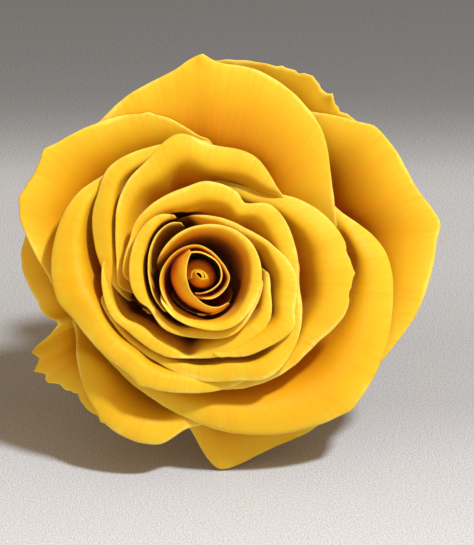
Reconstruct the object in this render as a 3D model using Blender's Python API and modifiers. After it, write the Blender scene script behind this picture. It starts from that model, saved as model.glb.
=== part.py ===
"""A preserved rose head, cut with a short stem, lying on its lower petals.

The bloom faces forward and up. Every petal is a thin blade of its own. It rises from its seat on the
receptacle, stands outside the petals that it wraps, and turns outward at its rim. The bud petals at the
heart are still rolled round each other, so they form one body, and so do hip, sepals and stem.

Lengths below are in millimetres. Angles are degrees about the bloom's axis, counter-clockwise as seen
from the front, with 0 on the right. Heights run along that axis, from the back of the bloom forward.
"""

import math
from dataclasses import dataclass

import bmesh
import bpy
import numpy as np
from mathutils import Vector
from mathutils.bvhtree import BVHTree

MM = 0.001
BLOOM_TILT = 25.0  # the axis rises this far above the level, degrees
AXIS_ABOVE_FLOOR = 16.2  # where the axis starts, at height 0
PRESSED = 0.29  # middle of a blade that lies flat on the floor
BLADE = 0.62
CLEARANCE = 0.32  # between neighbouring blades

# The axis leans: the back of the bloom lies right of and above its heart
LEAN_RIGHT = 3.4
LEAN_UP = 1.4
LEAN_TOP = 34.0

# The petals open like fans from a point in the receptacle, whose top is a ball round that point
FAN_HEIGHT = 7.5
SEAT_REACH = 7.6
FIRST_SEAT = 14.0  # degrees from the axis
SEAT_STEP = 7.0

# Sections are taken every SAMPLE degrees, and a petal gives way a little beyond its own sides
SAMPLE = 3
PADDING = 4
SECTION = 49  # points kept along each section
WALL_POINTS = 60  # before it is cut at its rim
LEAF_POINTS = 160
REACH_STEP = 0.25
REACHES = np.arange(SEAT_REACH, 46.0, REACH_STEP)
PITCH = np.interp(REACHES, (8.0, 14.0), (1.04, 1.24))  # between the middles of two blades
SHIFTS = int(PITCH[-1] / REACH_STEP)
EVENING = (4, 3, 2, 1, 0)
PAST_RIM = 6.0

# The curve of a lone petal's section
BELLY_REACH = 3.0
BELLY_GROWTH = 0.8
BACK_SHARE = 0.36
BACK_LEAST = 20.0
ARCH_SHARE = 0.55
CLAW_WIDTH = 0.5  # of the blade's angle, at its seat
CLAW_TOP = 0.42  # share of the blade's length over which it widens
CORNER_START = 0.74
CORNER_FALL = 0.42
ROWS = 7
BUD_ROWS = 5
ROW_GROWTH = 1.2  # rows stand closer near the seat, where the blade bends most
SETTLING = 6  # rounds
SIDEWAYS = 0.3  # share of a distance that may point back before it counts as the wrong side

# The bud's slim core, as (radius, height) down its side. Its dimpled top is the innermost petals' ring
CORE = ((0, 38.3), (0.4, 38.4), (0.8, 39.5), (1.3, 39.3), (1.7, 37.6), (2.3, 34.0), (2.6, 28.0),
        (2.2, 22.0), (1.1, 17.8), (2.2, 16.6), (2.2, 15.2), (0, 15.2))
CORE_SIDES = 12

# The two curls rolled on top of the core: each one's rim, as (degrees, mm) points, and its height
CURLS = (
    (((-80, 2.2), (-58, 2.3), (-21, 2.7), (12, 2.9), (45, 2.9), (82, 2.9), (116, 3.2)), 41.2),
    (((113, 3.3), (136, 2.7), (160, 2.2), (193, 2.0), (247, 2.7), (276, 4.2), (291, 5.2), (314, 5.6)), 41.8),
)
CURL_FOOT = (1.4, 22.0)
CURL_BELLY = (1.5, 33.0)  # past the rim's own radius, and its height
CURL_ROWS = 4
CURL_COLUMN = 15  # degrees

# Receptacle and hip, as (radius, height) below the ball that carries the petals
BALL_RADIUS = 7.0
BALL_END = 118  # degrees from the axis
BALL_ROWS = 9
HIP_SIDES = 18
HIP = ((5.4, 1.4), (5.2, -1.0), (4.4, -3.4), (3.1, -5.6), (2.3, -7.4), (0, -7.4))
STEM_HEIGHTS = (-5.0, -8.0, -11.0, -14.0, -17.0)
STEM_RADIUS = 2.1
SEPALS = 5
FIRST_SEPAL = 54
SEPAL_BLADE = 0.7
SEPAL_WIDTH = 2.7  # half of it, at its widest
SEPAL_TIP = 0.12  # share of that width left at the tip
SEPAL_START = 0.28  # where on its swelling outline it starts
SEPAL_FULLNESS = 0.8
SEPAL_GRID = (2, 7)
SEPAL_DISH = 0.5  # how far its edges turn in
SEPAL_LINE = ((4.6, 2.0), (9.0, 0.6), (11.6, -5.0), (10.0, -14.0))  # root, two bends, tip

PETAL_YELLOW = (0.83, 0.42, 0.012, 1.0)
PETAL_ROUGHNESS = 0.6
SEPAL_GREEN = (0.13, 0.19, 0.05, 1.0)
SEPAL_ROUGHNESS = 0.5

# The bloom's own directions: forward along its axis, and up and right as seen from the front
TILT = math.radians(BLOOM_TILT)
FORWARD = Vector((0, -math.cos(TILT), math.sin(TILT)))
UPWARD = Vector((0, math.sin(TILT), math.cos(TILT)))
RIGHTWARD = Vector((1, 0, 0))


@dataclass(frozen=True)
class Petal:
    """One petal, from where its rim runs to how it stands.

    rim and lip hold (degrees, mm) points. rim is the distance from the axis, lip the width of the blade
    that is turned outward beyond its crest. rise is the rim's height above the crest, lean the crest's
    slope outward from the axis in degrees, and levels its place in the stack at either side. Height, rise
    and lean are the same all round, or hold (degrees, value) points.
    """

    name: str
    rim: tuple
    lip: tuple
    height: float | tuple
    rise: float | tuple
    lean: float | tuple
    levels: tuple
    columns: int


BUD_WRAPS = (
    Petal(
        "bud_wrap",
        ((-77, 3.5), (-50, 4.1), (-25, 4.5), (0, 4.5), (30, 4.2), (60, 4.0), (90, 4.5), (120, 4.6),
         (150, 5.3), (180, 6.0), (214, 6.5)),
        ((-77, 0.3), (214, 0.5)),
        40.6, 0.3, -12.0, (-1.0, -0.4), 18,
    ),
    Petal(
        "bud_low",
        ((202, 5.5), (228, 5.6), (255, 5.8), (280, 6.1), (307, 6.1), (332, 5.8)),
        ((202, 0.3), (332, 0.3)),
        36.5, 0.3, -12.0, (-0.7, -0.5), 9,
    ),
)

PETALS = (
    Petal(
        "petal_cup",
        ((-140, 7.1), (-115, 7.5), (-90, 8.0), (-60, 9.1), (-35, 9.2), (0, 9.2), (30, 9.1),
         (60, 8.3), (90, 7.5), (125, 6.9), (165, 6.7)),
        ((-140, 0.4), (-60, 1.2), (0, 1.6), (60, 0.8), (165, 0.4)),
        39.5, 0.4, 12.0, (1.0, 1.0), 20,
    ),
    Petal(
        "petal_cup_left",
        ((111, 8.4), (118, 8.9), (131, 9.0), (150, 8.5), (170, 7.9), (191, 7.6), (212, 7.6),
         (226, 7.6)),
        ((111, 0.3), (226, 0.4)),
        39.0, 0.5, -5.0, (2.0, 2.0), 9,
    ),
    Petal(
        "petal_heart_lip",
        ((114, 9.9), (125, 11.0), (140, 11.2), (165, 10.8), (190, 10.4), (203, 9.9), (214, 9.1),
         (235, 9.6), (270, 9.4), (300, 10.2), (325, 9.6), (352, 9.5)),
        ((114, 0.6), (130, 1.6), (160, 2.0), (200, 2.0), (260, 1.4), (352, 1.0)),
        38.6, -0.1, 6.0, (3.0, 2.0), 16,
    ),
    Petal(
        "petal_right_inner",
        ((-72, 12.8), (-60, 13.9), (-48, 14.7), (-34, 15.9), (-27, 16.0), (-20, 15.1),
         (-3, 14.6), (8, 13.6), (20, 12.0), (46, 9.8), (75, 9.1), (112, 9.0)),
        ((-72, 1.2), (-48, 2.4), (0, 2.6), (40, 1.0), (112, 0.5)),
        37.0, 0.2, 30.0, (4.4, 2.0), 13,
    ),
    Petal(
        "petal_top_inner",
        ((-18, 14.4), (0, 14.7), (18, 14.9), (45, 14.9), (58, 12.7), (66, 13.6), (86, 14.1),
         (100, 13.3), (127, 12.8), (142, 12.5), (154, 11.8), (176, 11.6)),
        ((-18, 1.5), (30, 3.0), (58, 2.4), (90, 3.0), (140, 1.2), (176, 0.6)),
        36.4, 0.4, 34.0, (4.0, 4.0), 14,
    ),
    Petal(
        "petal_low_inner",
        ((165, 14.6), (189, 14.8), (204, 14.7), (220, 13.6), (247, 13.2), (265, 12.5),
         (306, 12.7), (327, 12.4), (345, 11.0), (358, 10.4)),
        ((165, 0.6), (205, 1.2), (230, 2.0), (300, 2.4), (358, 0.6)),
        36.6, 0.1, 20.0, (6.6, 2.4), 14,
    ),
    Petal(
        "petal_peak",
        ((38, 17.0), (49, 17.5), (66, 19.6), (85, 19.6), (98, 21.4), (106, 20.5), (113, 19.1),
         (127, 17.9), (140, 16.2), (152, 14.4), (168, 12.8), (184, 12.4)),
        ((38, 3.0), (98, 4.6), (130, 2.4), (184, 0.6)),
        34.6, 0.8, 34.0, (5.9, 4.3), 13,
    ),
    Petal(
        "petal_lower_lip",
        ((196, 15.4), (210, 14.9), (242, 14.5), (270, 15.8), (290, 16.8), (304, 18.5),
         (322, 17.8), (340, 16.3), (354, 14.9), (366, 14.9)),
        ((196, 0.5), (235, 0.9), (270, 2.2), (300, 3.2), (366, 0.8)),
        35.4, 0.1, 16.0, (6.6, 4.9), 14,
    ),
    Petal(
        "petal_right_middle",
        ((-80, 17.4), (-54, 19.1), (-31, 20.2), (-16, 22.3), (-8, 22.8), (9, 22.5), (20, 21.5),
         (37, 18.7), (57, 15.3), (78, 14.6)),
        ((-80, 1.5), (-30, 4.2), (10, 5.6), (50, 2.5), (78, 0.6)),
        33.6, 0.0, 34.0, (7.0, 4.6), 15,
    ),
    Petal(
        "petal_left_second",
        ((88, 20.2), (107, 20.5), (130, 21.2), (141, 19.7), (150, 18.6), (161, 16.9),
         (173, 15.2), (187, 13.2), (200, 11.4), (213, 9.8)),
        ((88, 1.6), (120, 2.2), (150, 3.2), (173, 2.6), (200, 1.0), (213, 0.4)),
        34.4, -0.2, 20.0, (6.2, 4.2), 14,
    ),
    Petal(
        "petal_left_lip",
        ((114, 20.3), (134, 20.9), (145, 22.0), (158, 22.5), (173, 22.4), (190, 21.7),
         (200, 19.9), (219, 18.7), (232, 18.2), (241, 18.6), (260, 17.9), (290, 17.3),
         (308, 17.5)),
        ((114, 1.2), (140, 1.6), (160, 3.6), (190, 6.0), (210, 3.8), (250, 3.0), (308, 0.8)),
        ((114, 33.2), (170, 34.0), (205, 35.8), (245, 35.8), (275, 34.6), (308, 33.6)),
        ((114, -0.6), (170, -0.2), (215, 0.3), (250, 0.3), (308, -0.3)),
        24.0, (7.6, 5.6), 19,
    ),
    Petal(
        "petal_lower_right",
        ((-150, 18.8), (-126, 19.1), (-100, 21.0), (-76, 24.6), (-57, 27.8), (-41, 30.2),
         (-26, 30.1), (-10, 29.3), (7, 28.0), (25, 23.0), (40, 22.0)),
        ((-150, 1.0), (-110, 2.6), (-70, 6.0), (-35, 8.0), (0, 5.0), (40, 1.5)),
        ((-150, 30.6), (-80, 30.6), (-40, 29.0), (0, 28.4), (40, 28.4)),
        ((-150, 0.3), (-80, 0.2), (-40, 0.2), (0, -0.8), (40, -0.4)),
        40.0, (7.0, 8.6), 19,
    ),
    Petal(
        "petal_left_top",
        ((74, 20.1), (90, 20.9), (104, 24.7), (114, 26.4), (130, 28.4), (141, 29.5), (155, 29.4),
         (162, 28.6), (171, 25.6), (182, 22.7), (196, 21.9)),
        ((74, 2.0), (120, 6.0), (155, 6.5), (196, 1.5)),
        28.4, 2.0, 50.0, (8.4, 8.4), 15,
    ),
    Petal(
        "petal_top",
        ((6, 21.7), (21, 21.9), (36, 24.3), (50, 28.4), (56, 29.6), (73, 31.9), (84, 32.0),
         (91, 32.8), (98, 30.9), (111, 29.3), (124, 27.7), (142, 26.2)),
        ((6, 2.0), (30, 4.0), (50, 10.0), (90, 13.0), (120, 9.0), (142, 5.0)),
        ((6, 27.0), (50, 28.4), (90, 28.8), (142, 27.4)),
        1.0,
        76.0, (7.8, 9.6), 16,
    ),
    Petal(
        "petal_right_outer",
        ((-48, 27.9), (-24, 30.4), (-7, 33.5), (8, 35.8), (13, 36.6), (22, 35.0), (38, 34.5),
         (47, 32.2), (58, 29.3), (74, 27.7)),
        ((-48, 6.0), (13, 9.5), (74, 5.0)),
        23.4, 2.6, 54.0, (9.0, 9.7), 15,
    ),
    Petal(
        "petal_lower_left",
        ((190, 20.8), (203, 20.8), (213, 22.3), (228, 25.1), (241, 26.8), (256, 26.2),
         (265, 23.2), (280, 22.1)),
        ((190, 2.0), (230, 5.0), (280, 2.4)),
        ((190, 27.0), (215, 29.6), (245, 30.6), (280, 29.0)),
        0.3,
        46.0, (8.6, 8.0), 11,
    ),
    Petal(
        "petal_left_low",
        ((154, 25.9), (169, 27.4), (182, 26.6), (193, 24.8), (200, 24.3), (206, 27.9),
         (214, 28.4), (221, 26.7), (231, 26.6), (244, 25.3)),
        ((154, 5.0), (195, 5.5), (212, 7.0), (244, 4.0)),
        24.0, 1.2, 34.0, (9.6, 9.6), 15,
    ),
    Petal(
        "petal_bottom",
        ((-108, 21.4), (-95, 23.1), (-87, 28.6), (-84, 29.6), (-68, 28.3), (-55, 28.8),
         (-38, 27.6)),
        ((-108, 4.0), (-84, 9.0), (-38, 6.0)),
        ((-108, 27.0), (-84, 26.6), (-60, 23.0), (-38, 20.0)),
        ((-108, 0.0), (-84, -1.0), (-38, -2.0)),
        60.0, (9.6, 9.4), 11,
    ),
    Petal(
        "petal_top_behind",
        ((28, 29.9), (46, 32.6), (53, 32.8), (62, 34.1), (70, 33.4), (84, 32.6), (104, 29.9)),
        ((28, 6.0), (66, 8.0), (104, 6.0)),
        21.4, 4.6, 52.0, (9.9, 10.2), 10,
    ),
    Petal(
        "guard_left",
        ((146, 21.6), (163, 24.4), (184, 24.8), (200, 23.4), (214, 21.0)),
        ((146, 6.0), (184, 8.0), (214, 6.0)),
        12.5, 1.6, 70.0, (10.6, 10.6), 9,
    ),
    Petal(
        "guard_lower_left",
        ((208, 19.4), (220, 22.2), (232, 23.7), (243, 23.6), (252, 22.5), (258, 21.4),
         (263, 20.4)),
        ((208, 0.6), (236, 0.8), (263, 0.6)),
        4.6, 1.4, 6.0, (13.0, 13.0), 12,
    ),
    Petal(
        "guard_lower_right",
        ((-84, 21.2), (-75, 22.4), (-65, 23.7), (-52, 24.3), (-38, 23.2), (-24, 20.6)),
        ((-84, 0.6), (-58, 0.8), (-24, 0.6)),
        4.6, 1.4, 6.0, (13.0, 13.0), 12,
    ),
    Petal(
        "guard_right",
        ((-28, 24.0), (-6, 28.4), (18, 29.0), (42, 25.4)),
        ((-28, 7.0), (8, 9.5), (42, 7.0)),
        12.5, 2.0, 66.0, (10.4, 10.4), 10,
    ),
    Petal(
        "guard_top",
        ((60, 25.4), (80, 28.2), (104, 27.6), (126, 24.0)),
        ((60, 7.0), (92, 9.0), (126, 6.5)),
        12.0, 2.0, 66.0, (10.9, 10.9), 9,
    ),
)


def along(points, angle):
    """Value at an angle on the smooth curve through (degrees, value) points."""
    if angle <= points[0][0]:
        return points[0][1]
    if angle >= points[-1][0]:
        return points[-1][1]
    last = len(points) - 1
    i = next(k for k in range(last) if angle <= points[k + 1][0])
    (x0, y0), (x1, y1) = points[i], points[i + 1]
    xa, ya = points[max(i - 1, 0)]
    xb, yb = points[min(i + 2, last)]
    slope0 = (y1 - ya) / (x1 - xa)
    slope1 = (yb - y0) / (xb - x0)
    step = x1 - x0
    t = (angle - x0) / step
    return (
        (1 + 2 * t) * (1 - t) ** 2 * y0
        + t * (1 - t) ** 2 * step * slope0
        + t * t * (3 - 2 * t) * y1
        - t * t * (1 - t) * step * slope1
    )


def reading(value, angle):
    """A value that is the same all round, or that runs through points."""
    return value if isinstance(value, (int, float)) else along(value, angle)


def smooth(low, high, value):
    """0 below low, 1 above high, and an even curve between."""
    t = min(max((value - low) / (high - low), 0.0), 1.0)
    return t * t * (3 - 2 * t)


def world(radius, degrees, height):
    """The point at a distance from the bloom's axis, an angle about it and a height along it, metres."""
    turn = math.radians(degrees)
    lean = max(0.0, 1 - height / LEAN_TOP) ** 2
    right = radius * math.cos(turn) + LEAN_RIGHT * lean
    up = radius * math.sin(turn) + LEAN_UP * lean
    spot = right * RIGHTWARD + up * UPWARD + height * FORWARD
    return (spot + Vector((0, 0, AXIS_ABOVE_FLOOR))) * MM


def section(rim, crest, height, rise, lean, level):
    """How far a lone petal's section opens from the axis at each reach, in radians."""
    slope = math.radians(lean)
    along_crest = np.array((math.sin(slope), math.cos(slope)))
    opening = math.radians(FIRST_SEAT + SEAT_STEP * level)
    radial = np.array((math.sin(opening), math.cos(opening)))
    start = SEAT_REACH * radial + (0, FAN_HEIGHT)
    belly = start + (BELLY_REACH + BELLY_GROWTH * level) * radial
    top = np.array((crest, height))
    below = top - BACK_SHARE * max(height - start[1], BACK_LEAST) * along_crest
    bend = top + ARCH_SHARE * (rim - crest) * along_crest
    end = np.array((rim, height + rise))
    t = np.linspace(0, 1, WALL_POINTS)[:, None]
    wall = (1 - t) ** 3 * start + 3 * t * (1 - t) ** 2 * belly + 3 * t * t * (1 - t) * below + t**3 * top
    blade = (1 - t) ** 2 * top + 2 * t * (1 - t) * bend + t * t * end
    past = end + t[1:] * PAST_RIM * (end - bend) / max(np.hypot(*(end - bend)), 0.1)
    line = np.vstack((wall, blade[1:], past))
    reach = np.maximum.accumulate(np.hypot(line[:, 0], line[:, 1] - FAN_HEIGHT) + 1e-6 * np.arange(len(line)))
    return np.interp(REACHES, reach, np.arctan2(line[:, 0], line[:, 1] - FAN_HEIGHT))


def clear_of(opening, rim_at):
    """The least opening at each reach that keeps PITCH from a section, where that section exists."""
    least = np.full(len(REACHES), -1.0)
    there = REACHES <= rim_at
    for shift in range(-SHIFTS, SHIFTS + 1):
        apart = np.maximum(PITCH**2 - (shift * REACH_STEP) ** 2, 0)
        moved = np.where(there, opening, -1.0)
        moved = np.roll(moved, shift)
        if shift > 0:
            moved[:shift] = -1.0
        if shift < 0:
            moved[shift:] = -1.0
        least = np.maximum(least, moved + np.sqrt(apart) / REACHES)
    return least


def rim_reach(opening, rim):
    """The reach at which a section comes to its rim's distance from the axis."""
    radius = np.maximum.accumulate(REACHES * np.sin(opening) + 1e-6 * REACHES)
    return float(np.interp(rim, radius, REACHES))


def evened(moves, span):
    """Moves averaged along the petal over span samples, and up the blade."""
    count = len(moves)
    mean = np.array([moves[max(i - span, 0) : i + span + 1].mean(0) for i in range(count)])
    for _ in range(2 * span):
        mean[:, 1:-1] = (mean[:, :-2] + 2 * mean[:, 1:-1] + mean[:, 2:]) / 4
    return mean


def nest(petals):
    """Each petal's section at every sampled angle, clear of the petals inside it, and who is inside whom.

    The bloom is seen as a fan that opens from one point in the receptacle. A petal is then an opening at
    each angle and each reach from that point. At each angle the petals are taken from the heart outward,
    and each opens until it is clear of those inside it. The moves are evened along the petal, a few times
    over. Where a petal comes to the distance that its rim has from the axis, it ends.
    """
    angles, levels, own, rims = {}, {}, {}, {}
    pad = SAMPLE * PADDING
    for petal in petals:
        first, last = petal.rim[0][0], petal.rim[-1][0]
        start = math.floor((first - pad) / SAMPLE) * SAMPLE
        span = np.arange(start, last + pad + SAMPLE, SAMPLE)
        share = np.clip((span - first) / (last - first), 0, 1)
        angles[petal.name] = span
        levels[petal.name] = petal.levels[0] + share * (petal.levels[1] - petal.levels[0])
        rims[petal.name] = [along(petal.rim, angle) for angle in span]
        own[petal.name] = np.array([
            section(
                rim, rim - along(petal.lip, angle), reading(petal.height, angle),
                reading(petal.rise, angle), reading(petal.lean, angle), level,
            )
            for angle, rim, level in zip(span, rims[petal.name], levels[petal.name])
        ])
    meetings = []
    for direction in range(0, 360, SAMPLE):
        met = [
            (levels[petal.name][i], petal.name, i)
            for petal in petals
            for i, angle in enumerate(angles[petal.name])
            if angle % 360 == direction
        ]
        meetings.append(sorted(met))
    opened = {name: sections.copy() for name, sections in own.items()}
    for span in EVENING:
        for met in meetings:
            least = np.zeros(len(REACHES))
            for _, name, i in met:
                opened[name][i] = np.maximum(opened[name][i], least)
                edge = rim_reach(opened[name][i], rims[name][i])
                least = np.maximum(least, clear_of(opened[name][i], edge))
        if span:
            for name in opened:
                opened[name] = own[name] + evened(opened[name] - own[name], span)
    inside = {}
    for met in meetings:
        names = [name for _, name, _ in met]
        for i, inner in enumerate(names):
            inside.update(((inner, outer), True) for outer in names[i + 1 :] if outer != inner)
    leaves = {}
    for name, sections in opened.items():
        lines = []
        for opening, rim in zip(sections, rims[name]):
            edge = rim_reach(opening, rim)
            reach = np.linspace(SEAT_REACH, edge, LEAF_POINTS)
            open_at = np.interp(reach, REACHES, opening)
            line = np.column_stack((reach * np.sin(open_at), FAN_HEIGHT + reach * np.cos(open_at)))
            run = np.concatenate(((0,), np.cumsum(np.hypot(*np.diff(line, axis=0).T))))
            even = np.linspace(0, run[-1], SECTION)
            lines.append(np.column_stack([np.interp(even, run, line[:, k]) for k in (0, 1)]))
        leaves[name] = (angles[name][0], np.array(lines))
    return leaves, list(inside)


def on_petal(leaf, angle, share):
    """Radius and height on a nested petal at an angle and a share of the way from seat to rim."""
    first, sections = leaf
    a = min(max((angle - first) / SAMPLE, 0.0), len(sections) - 1.001)
    b = min(max(share, 0.0) * (SECTION - 1), SECTION - 1.001)
    i, j = int(a), int(b)
    one = (1 - b + j) * sections[i, j] + (b - j) * sections[i, j + 1]
    two = (1 - b + j) * sections[i + 1, j] + (b - j) * sections[i + 1, j + 1]
    return (1 - a + i) * one + (a - i) * two


def make_material(name, colour, roughness):
    """A Principled material of the piece's own."""
    material = bpy.data.materials.new(name)
    material.use_nodes = True
    shader = material.node_tree.nodes["Principled BSDF"]
    shader.inputs["Base Color"].default_value = colour
    shader.inputs["Roughness"].default_value = roughness
    shader.inputs["Metallic"].default_value = 0.0
    return material


def add_object(name, mesh, collection):
    """A new object with this mesh, in the collection."""
    item = bpy.data.objects.new(name, mesh)
    collection.objects.link(item)
    return item


def sheet_mesh(name, columns, rows, place):
    """A grid moved to place(across, along), across from -1 to 1 and along from 0 to 1, in triangles."""
    bm = bmesh.new()
    bmesh.ops.create_grid(bm, x_segments=columns, y_segments=rows, size=1.0)
    for vertex in bm.verts:
        vertex.co = place(vertex.co.x, (vertex.co.y + 1) / 2)
    bmesh.ops.triangulate(bm, faces=bm.faces)
    mesh = bpy.data.meshes.new(name)
    bm.to_mesh(mesh)
    bm.free()
    return mesh


def outward(point):
    """The way a blade at this point opens, away from the bloom's axis."""
    ray = (point - world(0, 0, FAN_HEIGHT)).normalized()
    return (ray * ray.dot(FORWARD) - FORWARD).normalized()


def lacking(point, near, distance, way):
    """How far a blade's point must move along way to be clear of a near point on the blade inside it."""
    room = (BLADE + CLEARANCE) * MM
    if (point - near).dot(way) < -SIDEWAYS * distance:
        return room + distance
    return room - distance


def probes(mesh):
    """The corners and the middles of a sheet's faces, each with the corners that carry it."""
    spots = [(vertex.co.copy(), (vertex.index,)) for vertex in mesh.vertices]
    return spots + [(face.center.copy(), tuple(face.vertices)) for face in mesh.polygons]


def settle(sheets, pairs):
    """Opens the corners of each outer blade's facets until they are clear of the blade inside it."""
    room = (BLADE + CLEARANCE) * MM
    for _ in range(SETTLING):
        for inner, outer in pairs:
            spots = {name: probes(sheets[name]) for name in (inner, outer)}
            faces = {name: [tuple(face.vertices) for face in sheets[name].polygons] for name in spots}
            corners = {name: [vertex.co.copy() for vertex in sheets[name].vertices] for name in spots}
            trees = {name: BVHTree.FromPolygons(corners[name], faces[name]) for name in spots}
            moves = [0.0] * len(corners[outer])
            for point, carriers in spots[outer]:
                near, _, _, distance = trees[inner].find_nearest(point, room)
                if near is not None:
                    move = lacking(point, near, distance, outward(point))
                    for i in carriers:
                        moves[i] = max(moves[i], move)
            for point, _ in spots[inner]:
                near, _, face, distance = trees[outer].find_nearest(point, room)
                if near is not None:
                    move = lacking(near, point, distance, outward(point))
                    for i in faces[outer][face]:
                        moves[i] = max(moves[i], move)
            for vertex, move in zip(sheets[outer].vertices, moves):
                if move > 0:
                    vertex.co += move * outward(vertex.co)


def thicken(item, thickness):
    """Gives a sheet its thickness, evenly to both sides, and lays what reaches the floor flat on it."""
    solidify = item.modifiers.new("blade", "SOLIDIFY")
    solidify.thickness = thickness * MM
    solidify.offset = 0.0
    solidify.use_rim = True
    graph = bpy.context.evaluated_depsgraph_get()
    mesh = bpy.data.meshes.new_from_object(item.evaluated_get(graph))
    item.modifiers.clear()
    for vertex in mesh.vertices:
        vertex.co.z = max(vertex.co.z, 0.0)
    item.data = mesh
    mesh.shade_smooth()


def petal_place(petal, leaf):
    """Where each point of a petal's sheet goes."""
    first, last = petal.rim[0][0], petal.rim[-1][0]
    middle, half = (first + last) / 2, (last - first) / 2

    def place(across, up):
        corner = smooth(CORNER_START, 1.0, abs(across))
        share = up**ROW_GROWTH * (1 - CORNER_FALL * corner * corner)
        width = CLAW_WIDTH + (1 - CLAW_WIDTH) * smooth(0.0, CLAW_TOP, share)
        angle = middle + across * half * width
        radius, height = on_petal(leaf, angle, share)
        return world(radius, angle, height)

    return place


def build_petal(name, mesh, collection):
    """One petal from its sheet: a narrow claw on the receptacle, a blade and a rounded rim."""
    for vertex in mesh.vertices:
        vertex.co.z = max(vertex.co.z, PRESSED * MM)
    item = add_object(name, mesh, collection)
    thicken(item, BLADE)
    return item


def turned(name, profile, steps, collection):
    """A closed solid turned about the bloom's axis from (radius, height) points, top to bottom."""
    mesh = bpy.data.meshes.new(name)
    points = [(radius, 0, height) for radius, height in profile]
    mesh.from_pydata(points, [(i, i + 1) for i in range(len(points) - 1)], [])
    item = add_object(name, mesh, collection)
    screw = item.modifiers.new("turn", "SCREW")
    screw.steps = screw.render_steps = steps
    screw.use_merge_vertices = True
    screw.merge_threshold = 0.0001
    graph = bpy.context.evaluated_depsgraph_get()
    item.data = bpy.data.meshes.new_from_object(item.evaluated_get(graph))
    item.modifiers.clear()
    for vertex in item.data.vertices:
        x, y, height = vertex.co
        vertex.co = world(math.hypot(x, y), math.degrees(math.atan2(y, x)), height)
    return item


def united(name, pieces, collection):
    """The pieces of a collection as one body."""
    item = add_object(name, pieces[0].data, collection)
    group = bpy.data.collections.new(name + "_pieces")
    for piece in pieces[1:]:
        group.objects.link(piece)
    union = item.modifiers.new("union", "BOOLEAN")
    union.operation = "UNION"
    union.operand_type = "COLLECTION"
    union.collection = group
    union.solver = "EXACT"
    graph = bpy.context.evaluated_depsgraph_get()
    mesh = bpy.data.meshes.new_from_object(item.evaluated_get(graph))
    item.modifiers.clear()
    item.data = mesh
    for piece in pieces:
        bpy.data.objects.remove(piece, do_unlink=True)
    bpy.data.collections.remove(group)
    mesh.shade_smooth()
    mesh.name = name
    return item


def build_curl(index, rim, top, collection):
    """One of the curls rolled on top of the bud, rooted in its core."""
    first, last = rim[0][0], rim[-1][0]

    def place(across, up):
        angle = (first + last) / 2 + across * (last - first) / 2
        edge = along(rim, angle)
        foot, belly, end = CURL_FOOT, (edge + CURL_BELLY[0], CURL_BELLY[1]), (edge, top)
        radius, height = (
            (1 - up) ** 2 * a + 2 * up * (1 - up) * b + up * up * c for a, b, c in zip(foot, belly, end)
        )
        return world(radius, angle, height)

    mesh = sheet_mesh(f"curl_{index}", round((last - first) / CURL_COLUMN), CURL_ROWS, place)
    item = add_object(f"curl_{index}", mesh, collection)
    thicken(item, BLADE)
    return item


def build_heart(sheets, collection):
    """The closed bud: a slim core, two curls rolled on it and the two petals that wrap them."""
    pieces = [turned("core", CORE, CORE_SIDES, collection)]
    for index, (rim, top) in enumerate(CURLS):
        pieces.append(build_curl(index, rim, top, collection))
    pieces += [build_petal(petal.name, sheets[petal.name], collection) for petal in BUD_WRAPS]
    return united("heart", pieces, collection)


def build_stem(collection):
    """The short stem, on the bloom's leaning axis, cut square."""
    curve = bpy.data.curves.new("stem", "CURVE")
    curve.dimensions = "3D"
    curve.bevel_depth = STEM_RADIUS * MM
    curve.bevel_resolution = 3
    curve.use_fill_caps = True
    spline = curve.splines.new("POLY")
    spline.points.add(len(STEM_HEIGHTS) - 1)
    for point, height in zip(spline.points, STEM_HEIGHTS):
        point.co = (*world(0, 0, height), 1)
    tube = bpy.data.objects.new("stem_curve", curve)
    collection.objects.link(tube)
    graph = bpy.context.evaluated_depsgraph_get()
    mesh = bpy.data.meshes.new_from_object(tube.evaluated_get(graph))
    bm = bmesh.new()
    bm.from_mesh(mesh)
    bmesh.ops.remove_doubles(bm, verts=bm.verts, dist=1e-6)
    bm.to_mesh(mesh)
    bm.free()
    item = add_object("stem", mesh, collection)
    item.matrix_world = tube.matrix_world
    bpy.data.objects.remove(tube, do_unlink=True)
    return item


def build_sepal(index, collection):
    """One sepal, folded back from the receptacle towards the stem."""
    middle = FIRST_SEPAL + index * 360 / SEPALS

    def place(across, up):
        radius, height = (
            (1 - up) ** 3 * a + 3 * up * (1 - up) ** 2 * b + 3 * up * up * (1 - up) * c + up**3 * d
            for a, b, c, d in zip(*SEPAL_LINE)
        )
        full = math.sin(math.pi * (SEPAL_START + (1 - SEPAL_START) * up)) ** SEPAL_FULLNESS
        half = SEPAL_WIDTH * (SEPAL_TIP + (1 - SEPAL_TIP) * full)
        dish = SEPAL_DISH * across * across
        return world(radius - dish, middle + across * math.degrees(half / radius), height)

    item = add_object(f"sepal_{index}", sheet_mesh(f"sepal_{index}", *SEPAL_GRID, place), collection)
    thicken(item, SEPAL_BLADE)
    return item


def build_calyx(collection):
    """What carries the petals: receptacle, hip, five sepals and the cut stem, grown as one."""
    ball = [
        (BALL_RADIUS * math.sin(math.radians(a)), FAN_HEIGHT + BALL_RADIUS * math.cos(math.radians(a)))
        for a in np.linspace(0, BALL_END, BALL_ROWS)
    ]
    pieces = [turned("hip", ball + list(HIP), HIP_SIDES, collection), build_stem(collection)]
    pieces += [build_sepal(index, collection) for index in range(SEPALS)]
    return united("calyx", pieces, collection)


def clear_scene():
    """Removes what the scene holds."""
    for item in list(bpy.data.objects):
        bpy.data.objects.remove(item, do_unlink=True)


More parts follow.
